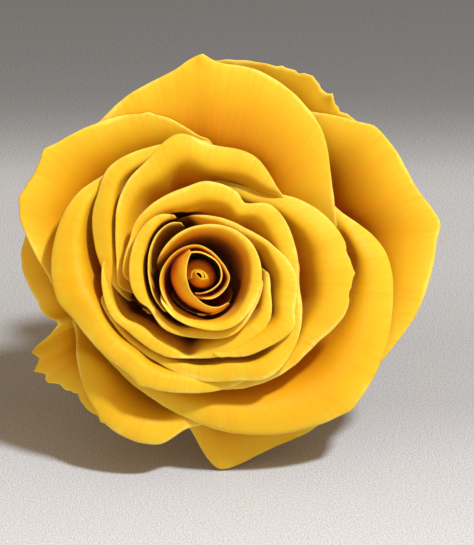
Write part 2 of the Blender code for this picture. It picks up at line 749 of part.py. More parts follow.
def stand_on_origin(collection):
    """Moves the flower so that the middle of its box's bottom is the origin."""
    points = [vertex.co for item in collection.objects for vertex in item.data.vertices]
    low = Vector(min(point[axis] for point in points) for axis in range(3))
    high = Vector(max(point[axis] for point in points) for axis in range(3))
    move = -Vector(((low.x + high.x) / 2, (low.y + high.y) / 2, low.z))
    for item in collection.objects:
        for vertex in item.data.vertices:
            vertex.co += move
    return move


def main():
    """Builds the flower."""
    clear_scene()
    rose = bpy.data.collections.new("preserved_rose")
    bpy.context.scene.collection.children.link(rose)
    leaves, pairs = nest(BUD_WRAPS + PETALS)
    sheets = {}
    for petal in BUD_WRAPS + PETALS:
        rows = BUD_ROWS if petal in BUD_WRAPS else ROWS
        place = petal_place(petal, leaves[petal.name])
        sheets[petal.name] = sheet_mesh(petal.name, petal.columns, rows, place)
    settle(sheets, pairs)
    items = [build_petal(petal.name, sheets[petal.name], rose) for petal in PETALS]
    items += [build_heart(sheets, rose), build_calyx(rose)]
    for item in items:
        colour, roughness = PETAL_YELLOW, PETAL_ROUGHNESS
        if item.name == "calyx":
            colour, roughness = SEPAL_GREEN, SEPAL_ROUGHNESS
        item.data.materials.clear()
        item.data.materials.append(make_material(item.name, colour, roughness))
    return stand_on_origin(rose)


MOVED = main()
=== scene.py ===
"""Dresses the preserved rose and sets it on pale paper under a soft studio light.

The frame gives the plain solids. Here every petal is built again as a thin blade with a rounded rim, in
the place of its solid, and so are the rolled heart, the receptacle, the sepals and the cut stem.

Lengths are in millimetres until a mesh is made. Angles are degrees about the bloom's axis,
counter-clockwise as seen from the front, with 0 on the right. Heights run along that axis, forward.
"""

import logging
import math
from dataclasses import dataclass
from enum import Enum
from functools import cached_property
from typing import Sequence

import bpy
import numpy as np
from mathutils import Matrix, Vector


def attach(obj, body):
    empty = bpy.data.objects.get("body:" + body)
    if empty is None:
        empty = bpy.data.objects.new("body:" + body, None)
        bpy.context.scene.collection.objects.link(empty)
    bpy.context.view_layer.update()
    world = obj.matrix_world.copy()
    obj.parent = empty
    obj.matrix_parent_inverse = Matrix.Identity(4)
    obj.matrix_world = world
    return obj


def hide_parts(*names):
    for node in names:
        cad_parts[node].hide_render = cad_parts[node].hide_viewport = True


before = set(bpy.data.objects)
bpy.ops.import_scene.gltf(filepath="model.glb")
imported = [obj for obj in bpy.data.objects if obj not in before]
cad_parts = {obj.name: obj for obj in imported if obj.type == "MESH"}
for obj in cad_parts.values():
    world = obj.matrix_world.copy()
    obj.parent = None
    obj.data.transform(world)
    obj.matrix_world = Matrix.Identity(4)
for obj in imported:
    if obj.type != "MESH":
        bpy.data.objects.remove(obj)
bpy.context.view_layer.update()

logging.basicConfig(level=logging.INFO, format="%(message)s")
LOG = logging.getLogger("rose")

MM = 0.001
BODY = "root"
PHOTO_WIDTH = 474

Points = Sequence[tuple[float, float]]
Colour = tuple[float, float, float, float]


class Slot(Enum):
    """The record's material slots."""

    PETAL = "petal"
    BUD = "bud"
    CALYX = "calyx"


def linear(code: str) -> Colour:
    """Turns a colour as seen on a screen into the values that light is worked out with.

    Args:
        code: six hex digits, sRGB.

    Returns:
        Linear red, green and blue, and full opacity.
    """
    shares = [int(code[i : i + 2], 16) / 255 for i in (0, 2, 4)]
    return (*(s / 12.92 if s <= 0.04045 else ((s + 0.055) / 1.055) ** 2.4 for s in shares), 1.0)


def add_node(tree: bpy.types.NodeTree, kind: str, links: dict | None = None, **settings) -> bpy.types.Node:
    """Adds a node to a tree.

    Args:
        tree: where it goes.
        kind: Blender's name for it.
        links: its inputs, by name or number. A socket is linked, and anything else is set as the value.
        settings: the node's own properties.

    Returns:
        The node.
    """
    node = tree.nodes.new(kind)
    for name, value in settings.items():
        setattr(node, name, value)
    for key, value in (links or {}).items():
        if isinstance(value, bpy.types.NodeSocket):
            tree.links.new(value, node.inputs[key])
        else:
            node.inputs[key].default_value = value
    return node


def smooth(low: float, high: float, value: np.ndarray) -> np.ndarray:
    """0 below low, 1 above high, and an even curve between."""
    t = np.clip((np.asarray(value, float) - low) / (high - low), 0.0, 1.0)
    return t * t * (3 - 2 * t)


def along(points: Points, angle: float) -> float:
    """Reads the smooth curve through points.

    Args:
        points: (degrees, value), in order.
        angle: where to read it.

    Returns:
        The value there. Past either end it stays as at the end.
    """
    if angle <= points[0][0]:
        return points[0][1]
    if angle >= points[-1][0]:
        return points[-1][1]
    last = len(points) - 1
    i = next(k for k in range(last) if angle <= points[k + 1][0])
    (x0, y0), (x1, y1) = points[i], points[i + 1]
    xa, ya = points[max(i - 1, 0)]
    xb, yb = points[min(i + 2, last)]
    step = x1 - x0
    t = (angle - x0) / step
    return (
        (1 + 2 * t) * (1 - t) ** 2 * y0
        + t * (1 - t) ** 2 * step * (y1 - ya) / (x1 - xa)
        + t * t * (3 - 2 * t) * y1
        - t * t * (1 - t) * step * (yb - y0) / (xb - x0)
    )


def reading(value: float | Points, angle: float) -> float:
    """A value that is the same all round, or that runs through points."""
    return value if isinstance(value, (int, float)) else along(value, angle)


def cubic(grid: np.ndarray, rows: np.ndarray, columns: np.ndarray) -> np.ndarray:
    """Reads a grid between its points on a smooth surface through them.

    Args:
        grid: values by row and column, with any further axes.
        rows: where to read it, in steps of the grid.
        columns: the same the other way, with the shape of rows.

    Returns:
        The values, with the shape of rows and the grid's further axes.
    """

    def weights(at: np.ndarray, count: int) -> tuple[np.ndarray, list[np.ndarray]]:
        """Finds the four points round each place.

        Args:
            at: the places, in steps of the grid.
            count: how many points there are that way.

        Returns:
            The first of the two middle points, and the shares of the four.
        """
        i = np.clip(np.floor(at).astype(int), 0, count - 2)
        t = at - i
        shares = [
            -0.5 * t + t * t - 0.5 * t**3,
            1 - 2.5 * t * t + 1.5 * t**3,
            0.5 * t + 2 * t * t - 1.5 * t**3,
            -0.5 * t * t + 0.5 * t**3,
        ]
        return i, shares

    i, down = weights(np.clip(rows, 0, grid.shape[0] - 1), grid.shape[0])
    j, over = weights(np.clip(columns, 0, grid.shape[1] - 1), grid.shape[1])
    total = np.zeros(np.shape(rows) + grid.shape[2:])
    for a in range(4):
        for b in range(4):
            row = np.clip(i + a - 1, 0, grid.shape[0] - 1)
            column = np.clip(j + b - 1, 0, grid.shape[1] - 1)
            share = down[a] * over[b]
            total += share.reshape(share.shape + (1,) * (grid.ndim - 2)) * grid[row, column]
    return total


def ripple(seed: int, length: float, waves: Points) -> np.ndarray:
    """An uneven wave, as a dried edge has.

    Args:
        seed: picks this wave's own draw.
        length: how far it runs.
        waves: (wavelength, height) of each part of it.

    Returns:
        Its height every half millimetre along the length.
    """
    step, spare = 0.5, 1.0
    draw = np.random.default_rng(seed)
    at = np.arange(0, length + spare, step)
    total = np.zeros(len(at))
    for wavelength, height in waves:
        count = max(int(2 * length / wavelength) + 3, 4)
        knots = np.linspace(0, length + spare, count)
        heights = draw.uniform(-1, 1, count)
        heights[1::2] = -np.abs(heights[1::2])
        heights[::2] = np.abs(heights[::2])
        total += height * cubic(heights[:, None], at / (knots[1] - knots[0]), np.zeros(len(at)))
    return total


@dataclass(frozen=True)
class BloomAxis:
    """Where the bloom stands and faces, in the frame."""

    start: tuple[float, float, float] = (-4.364, 11.228, 16.2)
    tilt: float = 25.0
    lean_right: float = 3.4
    lean_up: float = 1.4
    lean_top: float = 34.0

    @property
    def forward(self) -> Vector:
        """The way that the bloom faces."""
        tilt = math.radians(self.tilt)
        return Vector((0, -math.cos(tilt), math.sin(tilt)))

    @property
    def upward(self) -> Vector:
        """Up, as seen from the front."""
        tilt = math.radians(self.tilt)
        return Vector((0, math.sin(tilt), math.cos(tilt)))

    def place(self, radius: np.ndarray, degrees: np.ndarray, height: np.ndarray) -> np.ndarray:
        """Finds points in the frame.

        Args:
            radius: distances from the axis.
            degrees: angles about it.
            height: heights along it.

        Returns:
            The points, with their three coordinates on the last axis.
        """
        turn = np.radians(degrees)
        lean = np.maximum(0.0, 1 - height / self.lean_top) ** 2
        right = radius * np.cos(turn) + self.lean_right * lean
        up = radius * np.sin(turn) + self.lean_up * lean
        spot = right[..., None] * np.array((1.0, 0, 0))
        spot = spot + up[..., None] * np.array(self.upward) + height[..., None] * np.array(self.forward)
        return spot + np.array(self.start)


@dataclass(frozen=True)
class RimMark:
    """A tip, notch or curl on a rim: where it is, how wide, how far it goes out, and how far forward.

    degrees and width are angles, and depth is how far below the rim a forward curl begins.
    """

    degrees: float
    width: float
    out: float = 0.0
    forward: float = 0.0
    depth: float = 2.0
    pointed: bool = True

    def share(self, angles: np.ndarray) -> np.ndarray:
        """Finds how much of it there is.

        Args:
            angles: where to read it.

        Returns:
            Its share at each angle, 1 at its middle.
        """
        away = np.abs(angles - self.degrees) / self.width
        if self.pointed:
            return np.clip(1 - away, 0, 1) ** 1.4
        return np.exp(-(away**2) * 2.5)


@dataclass(frozen=True)
class PetalPlan:
    """One petal, from where its rim runs to how it stands.

    rim and lip hold (degrees, mm) points. rim is the distance from the axis, lip the width of the blade
    that is turned outward beyond its crest. rise is the rim's height above the crest, lean the crest's
    slope outward from the axis in degrees, and levels its place in the stack at either side. roll is the
    width of the rolled edge and how far it turns, in degrees. waves is how uneven the rim is, tuck how
    many degrees the petal goes on at either side to slip behind its neighbours, and marks its rim's own
    tips and notches. Height, rise and lean are the same all round, or hold (degrees, value) points.
    """

    name: str
    rim: Points
    lip: Points
    height: float | Points
    rise: float | Points
    lean: float | Points
    levels: tuple[float, float]
    roll: tuple[float, float] = (1.2, 50.0)
    waves: float = 0.3
    tuck: tuple[float, float] = (0.0, 0.0)
    marks: tuple[RimMark, ...] = ()


# The first only keeps the room that the bud's curls fill, and the second is built.
BUD_WRAPS = (
    PetalPlan(
        "bud_wrap",
        ((-77, 3.5), (-50, 4.1), (-25, 4.5), (0, 4.5), (30, 4.2), (60, 4.0), (90, 4.5), (120, 4.6),
         (150, 5.1), (180, 5.5), (214, 5.7)),
        ((-77, 0.3), (214, 0.5)),
        40.6, 0.3, -10.0, (-1.0, -0.4), (0.5, 15.0), 0.05, (0.0, 24.0),
    ),
    PetalPlan(
        "bud_low",
        ((202, 5.3), (228, 5.4), (255, 5.7), (280, 6.1), (307, 6.1), (326, 5.7)),
        ((202, 0.3), (326, 0.3)),
        ((202, 37.0), (290, 36.8), (312, 35.4), (326, 32.0)),
        0.3, -12.0, (-0.7, -0.5), (0.5, 15.0), 0.05, (0.0, 20.0),
    ),
)

PETALS = (
    PetalPlan(
        "petal_cup",
        ((-140, 7.1), (-115, 7.5), (-90, 8.0), (-60, 9.1), (-35, 9.2), (0, 9.2), (30, 9.1),
         (60, 8.3), (90, 7.5), (125, 6.9), (165, 6.7)),
        ((-140, 0.4), (-60, 1.2), (0, 1.6), (60, 0.8), (165, 0.4)),
        39.5, 0.4, 12.0, (1.0, 1.0), (0.5, 15.0), 0.06, (50.0, 40.0),
    ),
    PetalPlan(
        "petal_cup_left",
        ((111, 8.4), (118, 8.9), (131, 9.0), (150, 8.5), (170, 7.9), (191, 7.6), (212, 7.6), (226, 7.6)),
        ((111, 0.3), (226, 0.4)),
        39.0, 0.5, -5.0, (2.0, 2.0), (0.5, 15.0), 0.05, (7.0, 26.0),
    ),
    PetalPlan(
        "petal_heart_lip",
        ((114, 9.9), (125, 11.0), (140, 11.2), (165, 10.8), (190, 10.4), (203, 9.9), (214, 9.1),
         (235, 9.6), (270, 9.4), (300, 10.2), (325, 9.6), (352, 9.5)),
        ((114, 0.6), (130, 1.6), (160, 2.0), (200, 2.0), (260, 1.4), (352, 1.0)),
        38.6, -0.1, 6.0, (3.0, 2.0), (0.6, 25.0), 0.06, (6.0, 24.0),
    ),
    PetalPlan(
        "petal_right_inner",
        ((-72, 12.8), (-60, 13.9), (-48, 14.7), (-34, 15.9), (-27, 16.0), (-20, 15.1), (-3, 14.6), (8, 13.6),
         (20, 12.0), (46, 9.8), (75, 9.1), (112, 9.0)),
        ((-72, 1.2), (-48, 2.4), (0, 2.6), (40, 1.0), (112, 0.5)),
        37.0, 0.2, 30.0, (4.4, 2.0), (0.5, 15.0), 0.08, (30.0, 28.0),
    ),
    PetalPlan(
        "petal_top_inner",
        ((-18, 14.4), (0, 14.7), (18, 14.9), (45, 14.9), (58, 12.7), (66, 13.6), (86, 14.1), (100, 13.3),
         (127, 12.8), (142, 12.5), (154, 11.8), (176, 11.6)),
        ((-18, 1.5), (30, 3.0), (58, 2.4), (90, 3.0), (140, 1.2), (176, 0.6)),
        36.4, 0.4, 34.0, (4.0, 4.0), (0.5, 15.0), 0.06, (20.0, 28.0),
    ),
    PetalPlan(
        "petal_low_inner",
        ((165, 14.6), (189, 14.8), (204, 14.7), (220, 13.6), (247, 13.2), (265, 12.5), (306, 12.7),
         (327, 12.4), (345, 11.0), (358, 10.4)),
        ((165, 0.6), (205, 1.2), (230, 2.0), (300, 2.4), (358, 0.6)),
        36.6, 0.1, 20.0, (6.6, 2.4), (0.6, 20.0), 0.08, (20.0, 24.0),
    ),
    PetalPlan(
        "petal_peak",
        ((38, 17.0), (49, 17.5), (66, 19.6), (85, 19.6), (98, 21.4), (106, 20.5), (113, 19.1), (127, 17.9),
         (140, 16.2), (152, 14.4), (168, 12.8), (184, 12.4)),
        ((38, 3.0), (98, 4.6), (130, 2.4), (184, 0.6)),
        34.6, 0.8, 34.0, (5.9, 4.3), (0.5, 15.0), 0.08, (14.0, 24.0),
    ),
    PetalPlan(
        "petal_lower_lip",
        ((196, 15.4), (210, 14.9), (242, 14.5), (270, 15.8), (290, 16.8), (304, 18.5), (322, 17.8),
         (340, 16.3), (354, 14.9), (366, 14.9)),
        ((196, 0.5), (235, 0.9), (270, 2.2), (300, 3.2), (366, 0.8)),
        35.4, 0.1, 16.0, (6.6, 4.9), (0.6, 20.0), 0.08, (20.0, 20.0),
    ),
    PetalPlan(
        "petal_right_middle",
        ((-80, 17.4), (-54, 19.1), (-31, 20.2), (-16, 22.3), (-8, 22.8), (9, 22.5), (20, 21.5),
         (37, 18.7), (57, 15.3), (78, 14.6)),
        ((-80, 1.5), (-30, 4.2), (10, 5.6), (50, 2.5), (78, 0.6)),
        33.6, 0.0, 34.0, (7.0, 4.6), (0.5, 15.0), 0.2, (16.0, 16.0),
        (RimMark(0.8, 3.0, 0.5), RimMark(9.0, 3.5, -0.35, pointed=False),
         RimMark(-7.0, 3.0, -0.4, pointed=False)),
    ),
    PetalPlan(
        "petal_left_second",
        ((88, 20.2), (107, 20.5), (130, 21.2), (141, 19.7), (150, 18.6), (161, 16.9), (173, 15.2),
         (187, 13.2), (200, 11.4), (213, 9.8)),
        ((88, 1.6), (120, 2.2), (150, 3.2), (173, 2.6), (200, 1.0), (213, 0.4)),
        34.4, -0.2, 20.0, (6.2, 4.2), (0.6, 20.0), 0.06, (12.0, 24.0),
    ),
    PetalPlan(
        "petal_left_lip",
        ((114, 20.3), (134, 20.9), (145, 22.0), (158, 22.5), (173, 22.4), (190, 21.7), (200, 19.9),
         (219, 18.7), (232, 18.2), (241, 18.6), (260, 17.9), (290, 17.3), (308, 17.5)),
        ((114, 1.2), (140, 1.6), (160, 3.6), (190, 6.0), (210, 3.8), (250, 3.0), (308, 0.8)),
        ((114, 33.2), (170, 34.0), (205, 35.8), (245, 35.8), (275, 34.6), (308, 33.6)),
        ((114, -0.6), (170, -0.2), (215, 0.3), (250, 0.3), (308, -0.3)), 24.0, (7.6, 5.6),
        (0.8, 25.0), 0.08, (12.0, 18.0), (RimMark(241.0, 3.5, 0.4),),
    ),
    PetalPlan(
        "petal_lower_right",
        ((-150, 18.8), (-126, 19.1), (-100, 21.0), (-76, 24.6), (-57, 27.8), (-41, 30.2), (-26, 30.1),
         (-10, 29.3), (7, 28.0), (25, 23.0), (40, 22.0)),
        ((-150, 1.0), (-110, 2.6), (-70, 6.0), (-35, 8.0), (0, 5.0), (40, 1.5)),
        ((-150, 30.6), (-80, 30.6), (-40, 29.0), (0, 28.4), (40, 28.4)),
        ((-150, 0.3), (-80, 0.2), (-40, 0.2), (0, -0.8), (40, -0.4)),
        40.0, (7.0, 8.6), (1.0, 30.0), 0.12, (6.0, 6.0), (RimMark(-41.6, 4.0, 0.4),),
    ),
    PetalPlan(
        "petal_left_top",
        ((74, 20.1), (90, 20.9), (104, 24.7), (114, 26.4), (130, 28.4), (141, 29.5), (155, 29.4),
         (162, 28.6), (171, 25.6), (182, 22.7), (196, 21.9)),
        ((74, 2.0), (120, 6.0), (155, 6.5), (196, 1.5)),
        28.4, 2.0, 50.0, (8.4, 8.4), (0.8, 25.0), 0.15, (0.0, 0.0),
        (RimMark(141.2, 5.0, 0.8), RimMark(107.8, 2.5, 0.35), RimMark(149.0, 3.0, -0.3, pointed=False),
         RimMark(157.0, 3.0, 0.4, pointed=False)),
    ),
    PetalPlan(
        "petal_top",
        ((6, 21.7), (21, 21.9), (36, 24.3), (50, 28.4), (56, 29.6), (73, 31.9), (84, 32.0), (91, 32.8),
         (98, 30.9), (111, 29.3), (124, 27.7), (142, 26.2)),
        ((6, 2.0), (30, 4.0), (50, 10.0), (90, 13.0), (120, 9.0), (142, 5.0)),
        ((6, 27.0), (50, 28.4), (90, 28.8), (142, 27.4)),
        1.0, 76.0, (7.8, 9.6), (0.6, 20.0), 0.12, (0.0, 0.0), (RimMark(89.5, 3.0, 0.5, 0.6),),
    ),
    PetalPlan(
        "petal_right_outer",
        ((-48, 27.9), (-24, 30.4), (-7, 33.5), (8, 35.8), (13, 36.6), (22, 35.0), (38, 34.5), (47, 32.2),
         (58, 29.3), (74, 27.7)),
        ((-48, 6.0), (13, 9.5), (74, 5.0)),
        23.4, 2.6, 54.0, (9.0, 9.7), (0.6, 15.0), 0.1, (0.0, 0.0),
        (RimMark(40.8, 5.0, 0.5), RimMark(11.7, 4.0, 0.3)),
    ),
    PetalPlan(
        "petal_lower_left",
        ((190, 20.8), (203, 20.8), (213, 22.3), (228, 25.1), (241, 26.8), (256, 26.2), (265, 23.2),
         (280, 22.1)),
        ((190, 2.0), (230, 5.0), (280, 2.4)),
        ((190, 27.0), (215, 29.6), (245, 30.6), (280, 29.0)),
        0.3, 46.0, (8.6, 8.0), (0.7, 25.0), 0.12, (0.0, 0.0), (RimMark(235.4, 2.0, 0.5),),
    ),
    PetalPlan(
        "petal_left_low",
        ((154, 25.9), (169, 27.4), (182, 26.6), (193, 24.8), (200, 24.3), (206, 27.9), (214, 28.4),
         (221, 26.7), (231, 26.6), (244, 25.3)),
        ((154, 5.0), (195, 5.5), (212, 7.0), (244, 4.0)),
        24.0, 1.2, 34.0, (9.6, 9.6), (0.8, 30.0), 0.4, (0.0, 0.0),
        (RimMark(198.5, 3.6, -1.5, 2.4, 5.0, False), RimMark(204.0, 2.2, 1.9, -0.8, 3.0),
         RimMark(207.2, 1.0, -0.7), RimMark(210.0, 1.2, 0.9), RimMark(212.4, 1.0, -0.6),
         RimMark(214.6, 1.2, 0.7), RimMark(217.2, 1.2, -0.8), RimMark(220.0, 1.4, 0.4),
         RimMark(224.0, 2.0, -0.5)),
    ),
    PetalPlan(
        "petal_bottom",
        ((-108, 21.4), (-95, 23.1), (-87, 28.6), (-84, 29.6), (-68, 28.3), (-55, 28.8), (-38, 27.6)),
        ((-108, 4.0), (-84, 9.0), (-38, 6.0)),
        ((-108, 27.0), (-84, 26.6), (-60, 23.0), (-38, 20.0)), ((-108, 0.0), (-84, -1.0), (-38, -2.0)), 60.0,
        (9.6, 9.4), (0.8, 20.0), 0.15,
    ),
    PetalPlan(
        "petal_top_behind",
        ((28, 29.9), (46, 32.6), (53, 32.8), (62, 34.1), (70, 33.4), (84, 32.6), (104, 29.9)),
        ((28, 6.0), (66, 8.0), (104, 6.0)),
        21.4, 4.6, 52.0, (9.9, 10.2), (0.6, 20.0), 0.3, (0.0, 0.0),
        (RimMark(53.9, 1.8, 1.0, 0.8), RimMark(57.0, 1.2, -0.5), RimMark(60.5, 1.4, 0.3),
         RimMark(64.0, 1.3, -0.5), RimMark(69.0, 1.5, 0.3), RimMark(49.5, 1.4, -0.6),
         RimMark(45.0, 1.5, 0.4)),
    ),
    PetalPlan(
        "guard_left",
        ((146, 21.6), (163, 24.4), (184, 24.8), (200, 23.4), (214, 21.0)),
        ((146, 6.0), (184, 8.0), (214, 6.0)),
        12.5, 1.6, 70.0, (10.6, 10.6), (1.2, 40.0), 0.5,
    ),
    PetalPlan(
        "guard_lower_left",
        ((208, 19.4), (220, 22.2), (232, 23.7), (243, 23.6), (252, 22.5), (258, 21.4), (263, 20.4)),
        ((208, 0.6), (236, 0.8), (263, 0.6)),
        4.6, 1.4, 6.0, (13.0, 13.0), (1.0, 20.0), 0.3,
    ),
    PetalPlan(
        "guard_lower_right",
        ((-84, 21.2), (-75, 22.4), (-65, 23.7), (-52, 24.3), (-38, 23.2), (-24, 20.6)),
        ((-84, 0.6), (-58, 0.8), (-24, 0.6)),
        4.6, 1.4, 6.0, (13.0, 13.0), (1.0, 20.0), 0.3,
    ),
    PetalPlan(
        "guard_right",
        ((-28, 24.0), (-6, 28.4), (18, 29.0), (42, 25.4)),
        ((-28, 7.0), (8, 9.5), (42, 7.0)),
        12.5, 2.0, 66.0, (10.4, 10.4), (1.2, 40.0), 0.5,
    ),
    PetalPlan(
        "guard_top",
        ((60, 25.4), (80, 28.2), (104, 27.6), (126, 24.0)),
        ((60, 7.0), (92, 9.0), (126, 6.5)),
        12.0, 2.0, 66.0, (10.9, 10.9), (1.2, 40.0), 0.5,
    ),
)


@dataclass(frozen=True)
class Nest:
    """How the petals stand inside each other.

    The bloom is seen as a fan that opens from one point in the receptacle. A petal is then an opening at
    each angle and each reach from that point. At each angle the petals are taken from the heart outward,
    and each opens until it is clear of those inside it. The moves are evened along the petal.

    The pitch is what lies between the middles of two blades. It runs from pitch_seat to pitch_belly
    between the two pitch_reaches. The room outside a rim is measured from room_below it to room_above it,
    and counts as room_far where nothing is near.
    """

    fan_height: float = 7.5
    seat: float = 7.6
    reach_end: float = 46.0
    reach_step: float = 0.25
    sample: int = 3
    padding: int = 4
    first_seat: float = 14.0
    seat_step: float = 7.0
    pitch_seat: float = 0.9
    pitch_belly: float = 0.92
    pitch_reaches: tuple[float, float] = (8.0, 14.0)
    evening: tuple[int, ...] = (4, 3, 2, 1, 0)
    past_rim: float = 6.0
    wall_points: int = 60
    belly_reach: float = 3.0
    belly_growth: float = 0.8
    back_share: float = 0.36
    back_least: float = 20.0
    arch_share: float = 0.55
    room_far: float = 12.0
    room_below: float = 2.0
    room_above: float = 0.6
    room_over_next: float = 0.8

    @cached_property
    def reaches(self) -> np.ndarray:
        """The distances from the fan's point at which openings are kept."""
        return np.arange(self.seat, self.reach_end, self.reach_step)

    @cached_property
    def pitch(self) -> np.ndarray:
        """What lies between the middles of two blades, at each reach."""
        return np.interp(self.reaches, self.pitch_reaches, (self.pitch_seat, self.pitch_belly))

    def section(self, plan: PetalPlan, angle: float, level: float) -> np.ndarray:
        """Draws how a lone petal opens.

        Args:
            plan: the petal.
            angle: the section's own angle about the axis.
            level: its place in the stack there.

        Returns:
            The opening from the axis at each reach, in radians.
        """
        rim = along(plan.rim, angle)
        crest = rim - along(plan.lip, angle)
        crest_height = reading(plan.height, angle)
        slope = math.radians(reading(plan.lean, angle))
        along_crest = np.array((math.sin(slope), math.cos(slope)))
        opening = math.radians(self.first_seat + self.seat_step * level)
        radial = np.array((math.sin(opening), math.cos(opening)))
        start = self.seat * radial + (0, self.fan_height)
        belly = start + (self.belly_reach + self.belly_growth * level) * radial
        top = np.array((crest, crest_height))
        below = top - self.back_share * max(crest_height - start[1], self.back_least) * along_crest
        bend = top + self.arch_share * (rim - crest) * along_crest
        end = np.array((rim, crest_height + reading(plan.rise, angle)))
        t = np.linspace(0, 1, self.wall_points)[:, None]
        wall = (1 - t) ** 3 * start + 3 * t * (1 - t) ** 2 * belly + 3 * t * t * (1 - t) * below + t**3 * top
        blade = (1 - t) ** 2 * top + 2 * t * (1 - t) * bend + t * t * end
        past = end + t[1:] * self.past_rim * (end - bend) / max(np.hypot(*(end - bend)), 0.1)
        line = np.vstack((wall, blade[1:], past))
        out = np.hypot(line[:, 0], line[:, 1] - self.fan_height)
        out = np.maximum.accumulate(out + 1e-6 * np.arange(len(line)))
        return np.interp(self.reaches, out, np.arctan2(line[:, 0], line[:, 1] - self.fan_height))

    def clear_of(self, opening: np.ndarray, rim_at: float) -> np.ndarray:
        """Finds how far the next petal out has to open.

        Args:
            opening: a section's opening at each reach.
            rim_at: the reach at which that section ends.

        Returns:
            The least opening at each reach that keeps the pitch from the section, where the section is.
        """
        reaches, pitch = self.reaches, self.pitch
        least = np.full(len(reaches), -1.0)
        shifts = int(self.pitch_belly / self.reach_step)
        for shift in range(-shifts, shifts + 1):
            apart = np.maximum(pitch**2 - (shift * self.reach_step) ** 2, 0)
            moved = np.roll(np.where(reaches <= rim_at, opening, -1.0), shift)
            if shift > 0:
                moved[:shift] = -1.0
            if shift < 0:
                moved[shift:] = -1.0
            least = np.maximum(least, moved + np.sqrt(apart) / reaches)
        return least

    def rim_reach(self, opening: np.ndarray, rim: float) -> float:
        """Finds where a section ends.

        Args:
            opening: its opening at each reach.
            rim: its rim's distance from the axis.

        Returns:
            The reach at which it comes to its rim.
        """
        reaches = self.reaches
        radius = np.maximum.accumulate(reaches * np.sin(opening) + 1e-6 * reaches)
        return float(np.interp(rim, radius, reaches))

    def evened(self, moves: np.ndarray, span: int) -> np.ndarray:
        """Evens the moves along the petal and up the blade.

        Args:
            moves: by sampled angle and reach.
            span: how many samples to either side are averaged.

        Returns:
            The evened moves.
        """
        mean = np.array([moves[max(i - span, 0) : i + span + 1].mean(0) for i in range(len(moves))])
        for _ in range(2 * span):
            mean[:, 1:-1] = (mean[:, :-2] + 2 * mean[:, 1:-1] + mean[:, 2:]) / 4
        return mean

    def settle(self, plans: Sequence[PetalPlan]) -> dict[str, "Leaf"]:
        """Opens the petals until they are clear of each other.

        Args:
            plans: the petals.

        Returns:
            Each petal's sections, by name.
        """
        angles, levels, own, rims = {}, {}, {}, {}
        pad = self.sample * self.padding
        for plan in plans:
            first, last = plan.rim[0][0], plan.rim[-1][0]
            start = math.floor((first - max(pad, plan.tuck[0])) / self.sample) * self.sample
            span = np.arange(start, last + max(pad, plan.tuck[1]) + self.sample, self.sample)
            share = np.clip((span - first) / (last - first), 0, 1)
            angles[plan.name] = span
            levels[plan.name] = plan.levels[0] + share * (plan.levels[1] - plan.levels[0])
            rims[plan.name] = [along(plan.rim, angle) for angle in span]
            own[plan.name] = np.array(
                [self.section(plan, angle, level) for angle, level in zip(span, levels[plan.name])]
            )
        meetings = []
        for direction in range(0, 360, self.sample):
            met = [
                (levels[plan.name][i], plan.name, i)
                for plan in plans
                for i, angle in enumerate(angles[plan.name])
                if angle % 360 == direction
            ]
            meetings.append(sorted(met))
        opened = {name: sections.copy() for name, sections in own.items()}
        for span in self.evening:
            for met in meetings:
                least = np.zeros(len(self.reaches))
                for _, name, i in met:
                    opened[name][i] = np.maximum(opened[name][i], least)
                    edge = self.rim_reach(opened[name][i], rims[name][i])
                    least = np.maximum(least, self.clear_of(opened[name][i], edge))
            if span:
                for name in opened:
                    opened[name] = own[name] + self.evened(opened[name] - own[name], span)
        room = self.room(meetings, opened, rims)
        return {
            plan.name: Leaf(self, plan, angles[plan.name][0], opened[plan.name], room[plan.name])
            for plan in plans
        }

    def room(self, meetings: list, opened: dict, rims: dict) -> dict[str, np.ndarray]:
        """Measures how much free space lies outside each petal's rim.

        Args:
            meetings: the petals met in each direction, from the heart outward.
            opened: each petal's openings.
            rims: each petal's rim distances.

        Returns:
            The space in mm at each sampled angle, by petal.
        """
        room = {name: np.full(len(sections), self.room_far) for name, sections in opened.items()}
        for met in meetings:
            for k, (_, name, i) in enumerate(met):
                edge = self.rim_reach(opened[name][i], rims[name][i])
                near = (self.reaches > edge - self.room_below) & (self.reaches < edge + self.room_above)
                for _, other, j in met[k + 1 :]:
                    if other == name:
                        continue
                    end = self.rim_reach(opened[other][j], rims[other][j])
                    there = near & (self.reaches < end + self.room_over_next)
                    if there.any():
                        gap = (opened[other][j] - opened[name][i])[there] * self.reaches[there]
                        room[name][i] = min(room[name][i], gap.min())
        return {name: np.maximum(values, 0.0) for name, values in room.items()}


